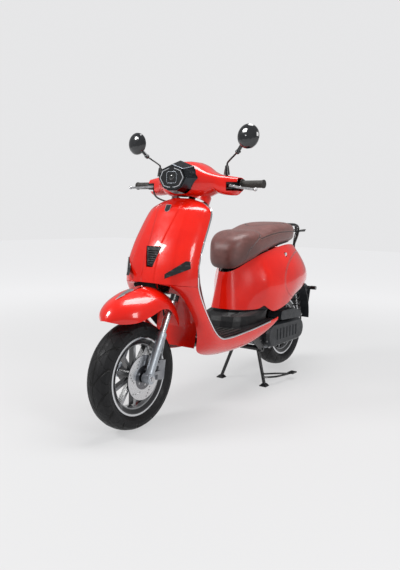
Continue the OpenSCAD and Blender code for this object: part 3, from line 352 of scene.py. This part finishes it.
def round_the_axle(place, centre):
    x, y, z = place.from_point(centre).xyz()
    reach = (y * y + z * z).math("SQRT")
    angle = z.math("ARCTAN2", y)
    return x, reach, angle


# Radii of the tyre: the raised line near the rim, and where the tread starts and is full
BEAD_LINE, SHOULDER, CROWN = 0.185, 0.196, 0.207
GROOVE_DEPTH = 0.005


def tread(centre):
    def vary(place):
        x, reach, angle = round_the_axle(place, centre)
        slant = (angle * 7.0 + abs(x) * 46.0).math("SINE")
        wide = (angle * 14.0 - abs(x) * 60.0 + 1.0).math("SINE")
        groove = abs(slant).ease(0.10, 0.24)
        small = abs(wide).ease(0.05, 0.14)
        middle = abs(x).ease(0.002, 0.005)
        worn = reach.ease(SHOULDER, CROWN)
        cut = groove * small * middle
        height = (cut - 1.0) * worn
        bead = (abs(reach - BEAD_LINE) - 0.0015).ease(0.0, 0.001, 1.0, 0.0)
        # Painted shade: in the full tread the grooves get a darker base colour than the blocks between them.
        painted_groove_shade = ((1.0 - cut) * worn).ease(0.0, 1.0)
        return {"Base Color": painted_groove_shade.shade(tone(0.009, 0.009, 0.010), tone(0.003, 0.003, 0.003)),
                "Roughness": place.noise(60.0).ease(0.3, 0.7, 0.45, 0.62),
                "Height": (height * GROOVE_DEPTH + bead * 0.0008 + place.noise(500.0) * 0.0001, 1.0)}
    return vary


def two_tone(centre):
    def vary(place):
        x, reach, angle = round_the_axle(place, centre)
        lip = reach.ease(0.1585, 0.1600) * abs(x).ease(0.0375, 0.0385)
        edge = (abs(x) - 0.0125).ease(0.0, 0.0004) * reach.ease(0.140, 0.139) * reach.ease(0.036, 0.037)
        bright = (lip + edge * 0.55).math("MINIMUM", 1.0)
        return {"Base Color": bright.shade(tone(0.012, 0.012, 0.014), tone(0.68, 0.69, 0.71)),
                "Metallic": bright,
                "Roughness": bright.ease(0.0, 1.0, 0.16, 0.22),
                "Height": ((reach * 9000.0).math("SINE") * bright * 0.00001
                           + place.noise(200.0) * 0.00004, 1.0)}
    return vary


def turned_disc(centre):
    def vary(place):
        x, reach, angle = round_the_axle(place, centre)
        carrier = reach.ease(0.050, 0.051, 1.0, 0.0)
        rings = (reach * 7000.0).math("SINE")
        return {"Base Color": carrier.shade(tone(0.62, 0.62, 0.63), tone(0.16, 0.16, 0.17)),
                "Roughness": (rings * 0.04 + 0.24),
                "Height": (rings * 0.00001 + place.noise(90.0) * 0.00003, 1.0)}
    return vary


def middle_of(node):
    low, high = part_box(node)
    return (Vector(low) + Vector(high)) / 2


wheels = {"front": middle_of("front_rim"), "rear": middle_of("rear_rim")}
wheels["rear"].x = 0.0
wheels["front"].x = 0.0
tyre_finish = {end: finish(end + "_tread", tread(spot), Specular_IOR_Level=0.25)
               for end, spot in wheels.items()}
rim_finish = {end: finish(end + "_rim_paint", two_tone(spot), Coat_Weight=0.6, Coat_Roughness=0.05)
              for end, spot in wheels.items()}
disc_steel = finish("disc_steel", turned_disc(wheels["front"]), Metallic=1.0)
print("wheels at", [tuple(round(v, 3) for v in spot) for spot in wheels.values()])

# %% [markdown]
# ### Lamps
# A smoked lens hides dark reflectors whose edges catch the light. Those glints are painted highlights:
# thin bright lines in the base colour under a glossy coat. The light guides of the headlight are pale grey.

# %% Lamp finishes


def smoked_with_painted_glints(place):
    # Painted highlights: thin bright lines in the base colour, broken into cells, stand in for glints on the
    # reflectors' edges.
    painted_glint_lines = (place.xyz()[2] * 300.0).math("SINE").ease(0.86, 0.98)
    cells = place.grain(60.0).ease(0.35, 0.6)
    return {"Base Color": (painted_glint_lines * cells).shade(tone(0.004, 0.005, 0.006), tone(0.05, 0.055, 0.06)),
            "Roughness": place.noise(30.0).ease(0.3, 0.7, 0.04, 0.09)}


def red_lens_look(place):
    ribs = (place.xyz()[0] * 700.0).math("SINE").ease(-0.2, 0.8)
    return {"Base Color": ribs.shade(tone(0.30, 0.006, 0.006), tone(0.55, 0.02, 0.015)),
            "Roughness": place.noise(30.0).ease(0.3, 0.7, 0.06, 0.10),
            "Height": (ribs * 0.0006, 1.0)}


# This lens finish carries the painted highlights, and the projector lens uses it too.
smoked_lens_painted_glints = finish("smoked_lens_painted_glints", smoked_with_painted_glints, Coat_Weight=1.0, Coat_Roughness=0.02)
red_lens = finish("red_lens", red_lens_look, Coat_Weight=1.0)
light_guide = finish("light_guide", lambda place: {
    "Base Color": place.noise(90.0).ease(0.3, 0.7).shade(tone(0.34, 0.36, 0.38), tone(0.44, 0.46, 0.48))},
    Roughness=0.2)
button_red = moulded("button_red", tone(0.40, 0.02, 0.012), tone(0.5, 0.03, 0.02), 0.35)
print("lamps: 3 kinds")

# %% [markdown]
# ## Dressing the solids
# Most solids already have the shape of the real part, so they keep it and take a finish. The
# red panels are coarse shells: a merged copy of each, whose triangles are joined back into
# four-sided faces, can be rounded by a Subdivision Surface. The sharp rims of the shell are
# creased first, so that they stay crisp.

# %% Finishes for the solids that stay
DRESS = {
    satin_black: ["frame", "handlebar", "steering_stem", "centre_stand", "fuel_tank", "grab_rail",
                  "mirror_stalk_left", "mirror_stalk_right", "exhaust", "shock_body"],
    black_plastic: ["shield_inner", "floor_board", "storage_bin", "brake_perches", "horn_button",
                    "indicator_switch", "seat_pan"],
    grey_plastic: ["rear_mudguard", "air_box", "cvt_cover"],
    gloss_black: ["horn_grille", "instrument_cluster", "headlight_lens"],
    smoked_lens_painted_glints: ["turn_signals"],
    red_lens: ["tail_light"],
    chrome: ["edge_trim", "fender_strip", "seat_lock", "ignition_lock"],
    steel: ["head_bearings", "front_axle", "shock_rod", "fork_stanchions", "brake_lever_left",
            "brake_lever_right"],
    silver_paint: ["fork_sliders"],
    cast_alloy: ["engine_case", "brake_caliper"],
    mat_rubber: ["floor_mat"],
    grip_rubber: ["left_grip", "throttle_grip"],
    button_red: ["starter_button"],
    tyre_finish["front"]: ["front_tyre"],
    tyre_finish["rear"]: ["rear_tyre"],
    rim_finish["front"]: ["front_rim"],
    rim_finish["rear"]: ["rear_rim"],
    disc_steel: ["brake_disc"],
    red_paint: ["wheel_well"],
}
for look, names in DRESS.items():
    for name in names:
        slots = frame["nodes"][name].data.materials
        slots.clear()
        slots.append(look)
print("dressed", sum(len(names) for names in DRESS.values()), "solids")

# %% Pieces that ride on a body
BODY_OF = {node: body for body, nodes in frame["record"]["behaviour"]["bodies"].items() for node in nodes}


def piece(name, mesh, look, like, stands_for=()):
    """Turns a bmesh into a piece that rides with the solid `like`."""
    data = bpy.data.meshes.new(name)
    mesh.to_mesh(data)
    mesh.free()
    data.materials.append(look)
    made = bpy.data.objects.new(name, data)
    scene.collection.objects.link(made)
    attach(made, BODY_OF[like])
    if stands_for:
        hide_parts(*stands_for)
    return made


def rounded(made, levels):
    soft = made.modifiers.new("rounding", "SUBSURF")
    soft.levels = soft.render_levels = levels


def merged(node):
    """A copy of a solid with its points joined and its triangles paired."""
    mesh = bmesh.new()
    mesh.from_mesh(frame["nodes"][node].data)
    bmesh.ops.remove_doubles(mesh, verts=mesh.verts, dist=1e-5)
    bmesh.ops.join_triangles(mesh, faces=mesh.faces, angle_face_threshold=radians(30),
                             angle_shape_threshold=radians(70))
    return mesh


def crisp(mesh, angle, crease):
    """Smooth faces, with creased and sharp edges where the shell turns."""
    layer = mesh.edges.layers.float.new("crease_edge")
    for face in mesh.faces:
        face.smooth = True
    for edge in mesh.edges:
        if len(edge.link_faces) != 2 or edge.calc_face_angle(0.0) > radians(angle):
            edge[layer] = crease
            edge.smooth = crease < 1.0


def shell(node, look, levels=1, angle=38, crease=1.0):
    mesh = merged(node)
    crisp(mesh, angle, crease)
    made = piece(node + "_skin", mesh, look, node, [node])
    if levels:
        rounded(made, levels)
    return made


# %% [markdown]
# ### The red panels
# Each panel is a copy of its solid and stands for it. Five are rounded by one level of
# subdivision, and the handlebar cowl is only shaded smooth.

# %% Panels
shell("leg_shield", red_shield)
shell("side_skirts", red_paint)
shell("side_cowl_left", red_cowl)
shell("side_cowl_right", red_cowl)
shell("front_fender", red_paint)
shell("handlebar_cowl", red_paint, 0, 44)
print("panels: 6")

# %% Mirror backs and their glass
GLASS_R = 0.0485
for hand in ("left", "right"):
    node = "mirror_head_" + hand
    shell(node, gloss_black, 0, 30)
    sign = 1 if hand == "left" else -1
    mesh = bmesh.new()
    bmesh.ops.create_circle(mesh, segments=64, radius=GLASS_R, cap_ends=True)
    bmesh.ops.inset_region(mesh, faces=mesh.faces[:], thickness=0.0015, depth=0.0008,
                           use_boundary=True)
    bmesh.ops.rotate(mesh, verts=mesh.verts, matrix=Matrix.Rotation(radians(-90), 3, "X"))
    bmesh.ops.translate(mesh, verts=mesh.verts, vec=at(312 * sign, 383.4, 1246))
    piece("mirror_glass_" + hand, mesh, mirror_glass, node)
print("mirrors: 2")

# %% [markdown]
# ### The headlight
# A dark faceted bezel surrounds a black lens. Two thin bands, one on each side, draw an outer
# ring with corners. Each is a flat outline that runs out along its outer edge and comes back
# along a slightly smaller copy of it, given a thickness. The inner square with round corners is
# inset to a band, given a thickness and bevelled.

# %% Headlight


def band(outline, width, thick, bevel):
    """A closed band along an outline of (x, z), facing -Y."""
    mesh = bmesh.new()
    ring = [mesh.verts.new((x / 1000, 0.0, z / 1000)) for x, z in outline]
    face = mesh.faces.new(ring)
    face.normal_update()
    if face.normal.y > 0:
        face.normal_flip()
    bmesh.ops.inset_region(mesh, faces=[face], thickness=width, use_boundary=True, use_even_offset=True)
    bmesh.ops.delete(mesh, geom=[face], context="FACES_ONLY")
    grown = bmesh.ops.extrude_face_region(mesh, geom=mesh.faces[:])
    points = [v for v in grown["geom"] if isinstance(v, bmesh.types.BMVert)]
    bmesh.ops.translate(mesh, verts=points, vec=(0, -thick, 0))
    bmesh.ops.recalc_face_normals(mesh, faces=mesh.faces)
    if bevel:
        bmesh.ops.bevel(mesh, geom=mesh.edges[:], offset=bevel, affect="EDGES", segments=2,
                        profile=0.5, material=-1)
    return mesh


def slab(outline, thick):
    """A flat plate with an outline of (x, z), facing -Y."""
    mesh = bmesh.new()
    face = mesh.faces.new([mesh.verts.new((x / 1000, 0.0, z / 1000)) for x, z in outline])
    grown = bmesh.ops.extrude_face_region(mesh, geom=[face])
    points = [v for v in grown["geom"] if isinstance(v, bmesh.types.BMVert)]
    bmesh.ops.translate(mesh, verts=points, vec=(0, -thick, 0))
    bmesh.ops.recalc_face_normals(mesh, faces=mesh.faces)
    return mesh


HALF_GUIDE = [(14, 41), (50, 29), (66, -2), (44, -37), (20, -44), (8, -44)]
INNER_GUIDE = [(16 + 12 * cos(radians(a)), 14 + 12 * sin(radians(a))) for a in range(0, 91, 15)]
INNER_GUIDE += [(-x, z) for x, z in reversed(INNER_GUIDE)]
INNER_GUIDE += [(x, -z) for x, z in reversed(INNER_GUIDE)]
FACE = at(0, 249.8, 1072)
for hand, sign in (("left", 1), ("right", -1)):
    outline = HALF_GUIDE + [(x * 0.945, z * 0.93) for x, z in reversed(HALF_GUIDE)]
    mesh = slab([(x * sign, z) for x, z in outline], 0.0016)
    bmesh.ops.translate(mesh, verts=mesh.verts, vec=FACE)
    piece("light_guide_" + hand, mesh, light_guide, "headlight_lens")
mesh = band(INNER_GUIDE, 0.0018, 0.0012, 0.0003)
bmesh.ops.translate(mesh, verts=mesh.verts, vec=FACE)
piece("inner_light_guide", mesh, silver_paint, "headlight_lens")
mesh = bmesh.new()
bmesh.ops.create_uvsphere(mesh, u_segments=32, v_segments=16, radius=0.013)
bmesh.ops.scale(mesh, verts=mesh.verts, vec=(1, 0.35, 1))
bmesh.ops.translate(mesh, verts=mesh.verts, vec=FACE)
for bit in mesh.faces:
    bit.smooth = True
piece("projector_lens", mesh, smoked_lens_painted_glints, "headlight_lens")
mesh = merged("headlight_bezel")
bmesh.ops.dissolve_limit(mesh, angle_limit=radians(2), verts=mesh.verts, edges=mesh.edges)
bezel = piece("headlight_bezel_skin", mesh, dark_chrome, "headlight_bezel", ["headlight_bezel"])
chamfer = bezel.modifiers.new("chamfer", "BEVEL")
chamfer.width = 0.0022
chamfer.segments = 2
chamfer.angle_limit = radians(20)
print("headlight: 5 pieces")

# %% [markdown]
# ### Badge, dial and lamp details
# The badge at the top of the shield is a blank black plate with a bright edge. The dial has a
# ring of ticks, each a small box turned to its angle, and every fourth is longer.

# %% Badge
LEAN = Matrix.Rotation(radians(-30), 3, "X")
plate = [(-13, 16), (13, 16), (13, -8), (8, -14), (0, -18), (-8, -14), (-13, -8)]
mesh = band([(x * 1.12, z * 1.12) for x, z in plate], 0.0022, 0.003, 0.0004)
bmesh.ops.rotate(mesh, verts=mesh.verts, matrix=LEAN)
bmesh.ops.translate(mesh, verts=mesh.verts, vec=at(0, 228, 936))
piece("badge_rim", mesh, chrome, "leg_shield")
mesh = slab(plate, 0.0026)
bmesh.ops.rotate(mesh, verts=mesh.verts, matrix=LEAN)
bmesh.ops.translate(mesh, verts=mesh.verts, vec=at(0, 228, 936))
piece("badge_plate", mesh, gloss_black, "leg_shield")

# %% Dial
dial_low, dial_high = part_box("instrument_cluster")
DIAL_SPOT = Vector((0, (dial_low[1] + dial_high[1]) / 2 + 0.002, dial_high[2] - 0.0075))
DIAL = Matrix.Translation(DIAL_SPOT) @ Matrix.Rotation(radians(-14), 4, "X")
mesh = bmesh.new()
for step in range(25):
    angle = radians(-130 + step * 260 / 24)
    long = 0.006 if step % 4 == 0 else 0.0035
    tick = bmesh.ops.create_cube(mesh, size=1.0)["verts"]
    bmesh.ops.scale(mesh, verts=tick, vec=(0.0009, long, 0.0006))
    bmesh.ops.translate(mesh, verts=tick, vec=(0, 0.028 - long / 2, 0.0008))
    bmesh.ops.rotate(mesh, verts=tick, matrix=Matrix.Rotation(-angle, 3, "Z"))
bmesh.ops.transform(mesh, matrix=DIAL, verts=mesh.verts)
piece("dial_ticks", mesh, light_guide, "instrument_cluster")
print("badge and dial: 3 pieces")

# %% [markdown]
# ### Bolts and ribs of the power unit
# The transmission cover and the brake disc are held by hexagonal bolts, and a round cap closes
# each end of the front axle. They are small, so each has only a few faces.

# %% Bolts


def bolts(name, places, radius, length, look, like, sides=6):
    mesh = bmesh.new()
    for point in places:
        made = bmesh.ops.create_cone(mesh, segments=sides, radius1=radius, radius2=radius * 0.9,
                                     depth=length, cap_ends=True)["verts"]
        bmesh.ops.rotate(mesh, verts=made, matrix=Matrix.Rotation(radians(90), 3, "Y"))
        bmesh.ops.translate(mesh, verts=made, vec=point)
    return piece(name, mesh, look, like)


cover_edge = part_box("cvt_cover")[1][0] - 0.016
ring = [(985 + 24 - 70 * cos(radians(a)), 262 + 70 * sin(radians(a))) for a in (-60, -20, 20, 60)]
ring += [(1308 + 60 * cos(radians(a)), 260 + 60 * sin(radians(a))) for a in (-70, -25, 25, 70)]
bolts("cover_bolts", [Vector((cover_edge + 0.002, *at(0, y, z)[1:])) for y, z in ring], 0.006, 0.008,
      steel, "cvt_cover")
bolts("disc_bolts", [wheels["front"] + Vector((0.0605, 0.034 * cos(radians(a)), 0.034 * sin(radians(a))))
                     for a in range(0, 360, 72)], 0.005, 0.006, steel, "brake_disc")
bolts("axle_caps", [at(88 + 20, 0, 231), at(-88 - 20, 0, 231)], 0.013, 0.004, chrome, "front_axle", 24)

# %% Ribs on the transmission cover
mesh = bmesh.new()
face_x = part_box("cvt_cover")[1][0]
for k in range(7):
    y = 1040 + 38 * k
    rib = bmesh.ops.create_cube(mesh, size=1.0)["verts"]
    bmesh.ops.scale(mesh, verts=rib, vec=(0.005, 0.006, 0.062))
    bmesh.ops.translate(mesh, verts=rib, vec=(face_x + 0.0005, *at(0, y, 262)[1:]))
bmesh.ops.bevel(mesh, geom=mesh.edges[:], offset=0.0015, affect="EDGES", segments=2, profile=0.5,
                material=-1)
piece("cover_ribs", mesh, grey_plastic, "cvt_cover")
print("power unit: bolts and ribs")

# %% [markdown]
# ### Heat shield
# A thin chromed guard is curved round the muffler. A flat grid is bent by a cosine, turned to
# lie along the muffler, and given its wall by a Solidify modifier.

# %% Heat shield on the exhaust
GUARD_R = 0.051
GUARD_LEN = 0.26
GUARD_WIDTH = 0.11
mesh = bmesh.new()
bmesh.ops.create_grid(mesh, x_segments=10, y_segments=8, size=0.5)
bmesh.ops.scale(mesh, verts=mesh.verts, vec=(GUARD_LEN, GUARD_WIDTH, 1))
for v in mesh.verts:
    v.co.z = GUARD_R * cos(v.co.y / GUARD_R) - GUARD_R
bmesh.ops.rotate(mesh, verts=mesh.verts, matrix=Matrix.Rotation(radians(90), 3, "Z"))
bmesh.ops.rotate(mesh, verts=mesh.verts, matrix=Matrix.Rotation(radians(-90), 3, "Y"))
bmesh.ops.rotate(mesh, verts=mesh.verts, matrix=Matrix.Rotation(radians(13), 3, "X"))
bmesh.ops.translate(mesh, verts=mesh.verts, vec=at(-204, 1230, 262))
bmesh.ops.recalc_face_normals(mesh, faces=mesh.faces)
for bit in mesh.faces:
    bit.smooth = True
guard = piece("heat_shield", mesh, chrome, "exhaust")
wall = guard.modifiers.new("wall", "SOLIDIFY")
wall.thickness = 0.0015
print("heat shield")

# %% [markdown]
# ## The hose and the spring
# Two pieces change shape as the suspension works. Here each is a smooth copy of its solid: the brake hose,
# between the steering and the fork's lower half, stays fixed in place, and the spring rides with the shock's
# upper part.

# %% Brake hose and shock spring
mesh = merged("brake_hose")
crisp(mesh, 60, 0.0)
hose = piece("brake_hose_line", mesh, hose_rubber, "brake_hose", ["brake_hose"])
hose.parent = None
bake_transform(hose)
mesh = merged("shock_spring")
crisp(mesh, 60, 0.0)
coil = piece("shock_coil", mesh, spring_steel, "shock_spring", ["shock_spring"])
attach(coil, "shock_upper")
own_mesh(coil)
print("hose and spring")

# %% [markdown]
# ## The seat
# The seat is foam under a sewn leather cover. It starts from its solid, is remeshed into even
# small faces and is blown up a little by a cloth simulation, which gives the skin its soft
# swell. How far a point may move is capped, so the seat keeps its size. Seams and stitches are
# in the leather's own shader: one seam divides the nose from the rear, one runs along the side
# and one draws an oval on top.

# %% Leather
SEAT_LINE = [632, 678, 714, 740, 758, 768, 771, 768]


def leather_look(place):
    x, y, z = place.xyz()
    along_seat = (y - at(0, 650, 0).y) / 0.7
    stops = [(i / 7, tone(*[(h - 600) / 200] * 3)) for i, h in enumerate(SEAT_LINE)]
    ramp = along_seat.node("ShaderNodeValToRGB", {"stops": stops}, {0: along_seat})
    base = ramp.math("MULTIPLY", 0.2) + 0.6
    above = z - base
    behind = y - at(0, 775, 0).y - above * 0.75
    rear = behind.ease(0.0, 0.004)
    on_top = above.ease(0.060, 0.070)
    oval_y = (y - at(0, 1120, 0).y) / 0.165
    oval_x = x / 0.092
    oval_edge = abs((oval_x * oval_x + oval_y * oval_y).math("SQRT") - 1.0).ease(0.008, 0.028, 1.0, 0.0)
    side_seam = above - along_seat.ease(0.15, 1.0, 0.082, 0.052)
    seam = (abs(side_seam).ease(0.0006, 0.0035, 1.0, 0.0) * rear + abs(behind).ease(0.0006, 0.0035, 1.0, 0.0)
            + oval_edge * on_top).math("MINIMUM", 1.0)
    dash = (y * 900.0).math("SINE").ease(-0.1, 0.1)
    thread = (abs(abs(side_seam) - 0.0060) - 0.0007).ease(0.0, 0.0006, 1.0, 0.0) * dash * rear
    cells = place.grain(420.0)
    wrinkle = place.noise(38.0, 4.0)
    brown = wrinkle.ease(0.3, 0.7).shade(tone(0.110, 0.036, 0.030), tone(0.150, 0.052, 0.044))
    # Painted shade: the leather darkens gradually from just below the side seam down to the skirt of the
    # cover.
    low = above.ease(-0.02, 0.05, 1.0, 0.0).shade(brown, tone(0.085, 0.030, 0.026))
    lined = seam.shade(low, tone(0.03, 0.010, 0.009))
    return {"Base Color": thread.shade(lined, tone(0.26, 0.13, 0.10)),
            "Roughness": wrinkle.ease(0.3, 0.7, 0.38, 0.50),
            "Height": (cells * 0.0004 + wrinkle * 0.0010 - seam * 0.0030 + thread * 0.0006, 1.0)}


leather = finish("leather", leather_look, Coat_Weight=0.15, Coat_Roughness=0.3, Sheen_Weight=0.1)
print("leather ready")

# %% [markdown]
# The cover hangs 10 to 26 mm below the foam, most of all at the nose, and hides the pan's edge.

# %% Seat cushion
SWELL_CAP = 0.005
VOXEL = 0.0065
SKIRT_DROP = [0.026, 0.026, 0.019, 0.015, 0.012, 0.011, 0.010]
mesh = merged("seat_cushion")
bmesh.ops.scale(mesh, verts=mesh.verts, vec=(0.98, 0.992, 0.985),
                space=Matrix.Translation(-middle_of("seat_cushion")))
for v in mesh.verts:
    step = min(max((v.co.y - at(0, 650, 0).y) / 0.1, 0.0), 6.999)
    i = int(step)
    edge = (SEAT_LINE[i] + (SEAT_LINE[i + 1] - SEAT_LINE[i]) * (step - i)) / 1000
    v.co.z -= SKIRT_DROP[i] * max(0.0, 1 - max(v.co.z - edge, 0.0) / 0.08)
for bit in mesh.faces:
    bit.smooth = True
seat = piece("seat_cover", mesh, leather, "seat_cushion", ["seat_cushion"])


def swell(made, cap):
    """Remeshes a piece and blows it up a little, moving no point further than cap."""
    size = made.modifiers.new("remesh", "REMESH")
    size.mode = "VOXEL"
    size.voxel_size = VOXEL
    made.data = bpy.data.meshes.new_from_object(made.evaluated_get(bpy.context.evaluated_depsgraph_get()))
    made.modifiers.clear()
    start = [v.co.copy() for v in made.data.vertices]
    cloth = made.modifiers.new("cloth", "CLOTH")
    cloth.settings.use_pressure = True
    cloth.settings.uniform_pressure_force = 4
    cloth.settings.effector_weights.gravity = 0
    scene.frame_start, scene.frame_end = 1, 20
    for number in range(1, 21):
        scene.frame_set(number)
    made.data = bpy.data.meshes.new_from_object(made.evaluated_get(bpy.context.evaluated_depsgraph_get()))
    made.modifiers.clear()
    for v, old in zip(made.data.vertices, start):
        step = v.co - old
        if step.length > cap:
            v.co = old + step * (cap / step.length)
    scene.frame_set(1)
    return made


swell(seat, SWELL_CAP)
even = bmesh.new()
even.from_mesh(seat.data)
for turn in range(4):
    bmesh.ops.smooth_vert(even, verts=even.verts, factor=0.5, use_axis_x=True, use_axis_y=True,
                          use_axis_z=True)
for bit in even.faces:
    bit.smooth = True
even.to_mesh(seat.data)
even.free()
if not seat.data.materials:
    seat.data.materials.append(leather)
rounded(seat, 1)
print("seat:", len(seat.data.polygons), "faces")

# %% [markdown]
# ## Floor and lamps
# A large pale plane and a white surround are enough. The surround is brighter where it is looked
# at than where it is reflected, so the paint keeps a deep colour.

# %% Studio
mesh = bmesh.new()
bmesh.ops.create_grid(mesh, x_segments=1, y_segments=1, size=14.0)
data = bpy.data.meshes.new("floor")
mesh.to_mesh(data)
mesh.free()
floor = bpy.data.objects.new("floor", data)
floor.location.z = -0.0005


def glow(place):
    """A faint glow of its own, stronger far away, so that the floor runs into the surround."""
    x, y, z = place.xyz()
    far = (x * x + y * y).math("SQRT").ease(0.9, 4.5)
    return {"Emission Color": far.shade(tone(0.50, 0.50, 0.505), tone(0.74, 0.74, 0.75))}


data.materials.append(finish("pale_floor", glow, Base_Color=tone(0.22, 0.22, 0.22), Roughness=0.9,
                             Specular_IOR_Level=0.1, Emission_Strength=1.0))
scene.collection.objects.link(floor)
world = bpy.data.worlds.new("surround")
world.use_nodes = True
sky = world.node_tree.nodes["Background"]
sky.inputs[0].default_value = (0.97, 0.97, 0.98, 1.0)
seen = Signal(world.node_tree, world.node_tree.nodes.new("ShaderNodeLightPath").outputs["Is Camera Ray"])
world.node_tree.links.new(seen.ease(0.0, 1.0, 0.34, 0.82).socket, sky.inputs[1])
scene.world = world


def lamp(name, place, target, size, watts, tint=(1, 1, 1)):
    light = bpy.data.lights.new(name, "AREA")
    light.shape = "RECTANGLE"
    light.size, light.size_y = size
    light.energy = watts
    light.color = tint
    made = bpy.data.objects.new(name, light)
    made.location = place
    made.rotation_euler = (Vector(target) - Vector(place)).to_track_quat("-Z", "Y").to_euler()
    scene.collection.objects.link(made)


lamp("key", (-2.2, -3.2, 3.2), (0, -0.2, 0.6), (1.4, 1.0), 120)
lamp("fill", (3.4, -1.4, 2.2), (0, 0.1, 0.6), (1.0, 1.6), 55)
lamp("overhead", (0.3, 0.2, 3.6), (0, 0, 0.6), (1.2, 2.6), 110)
print("studio ready")
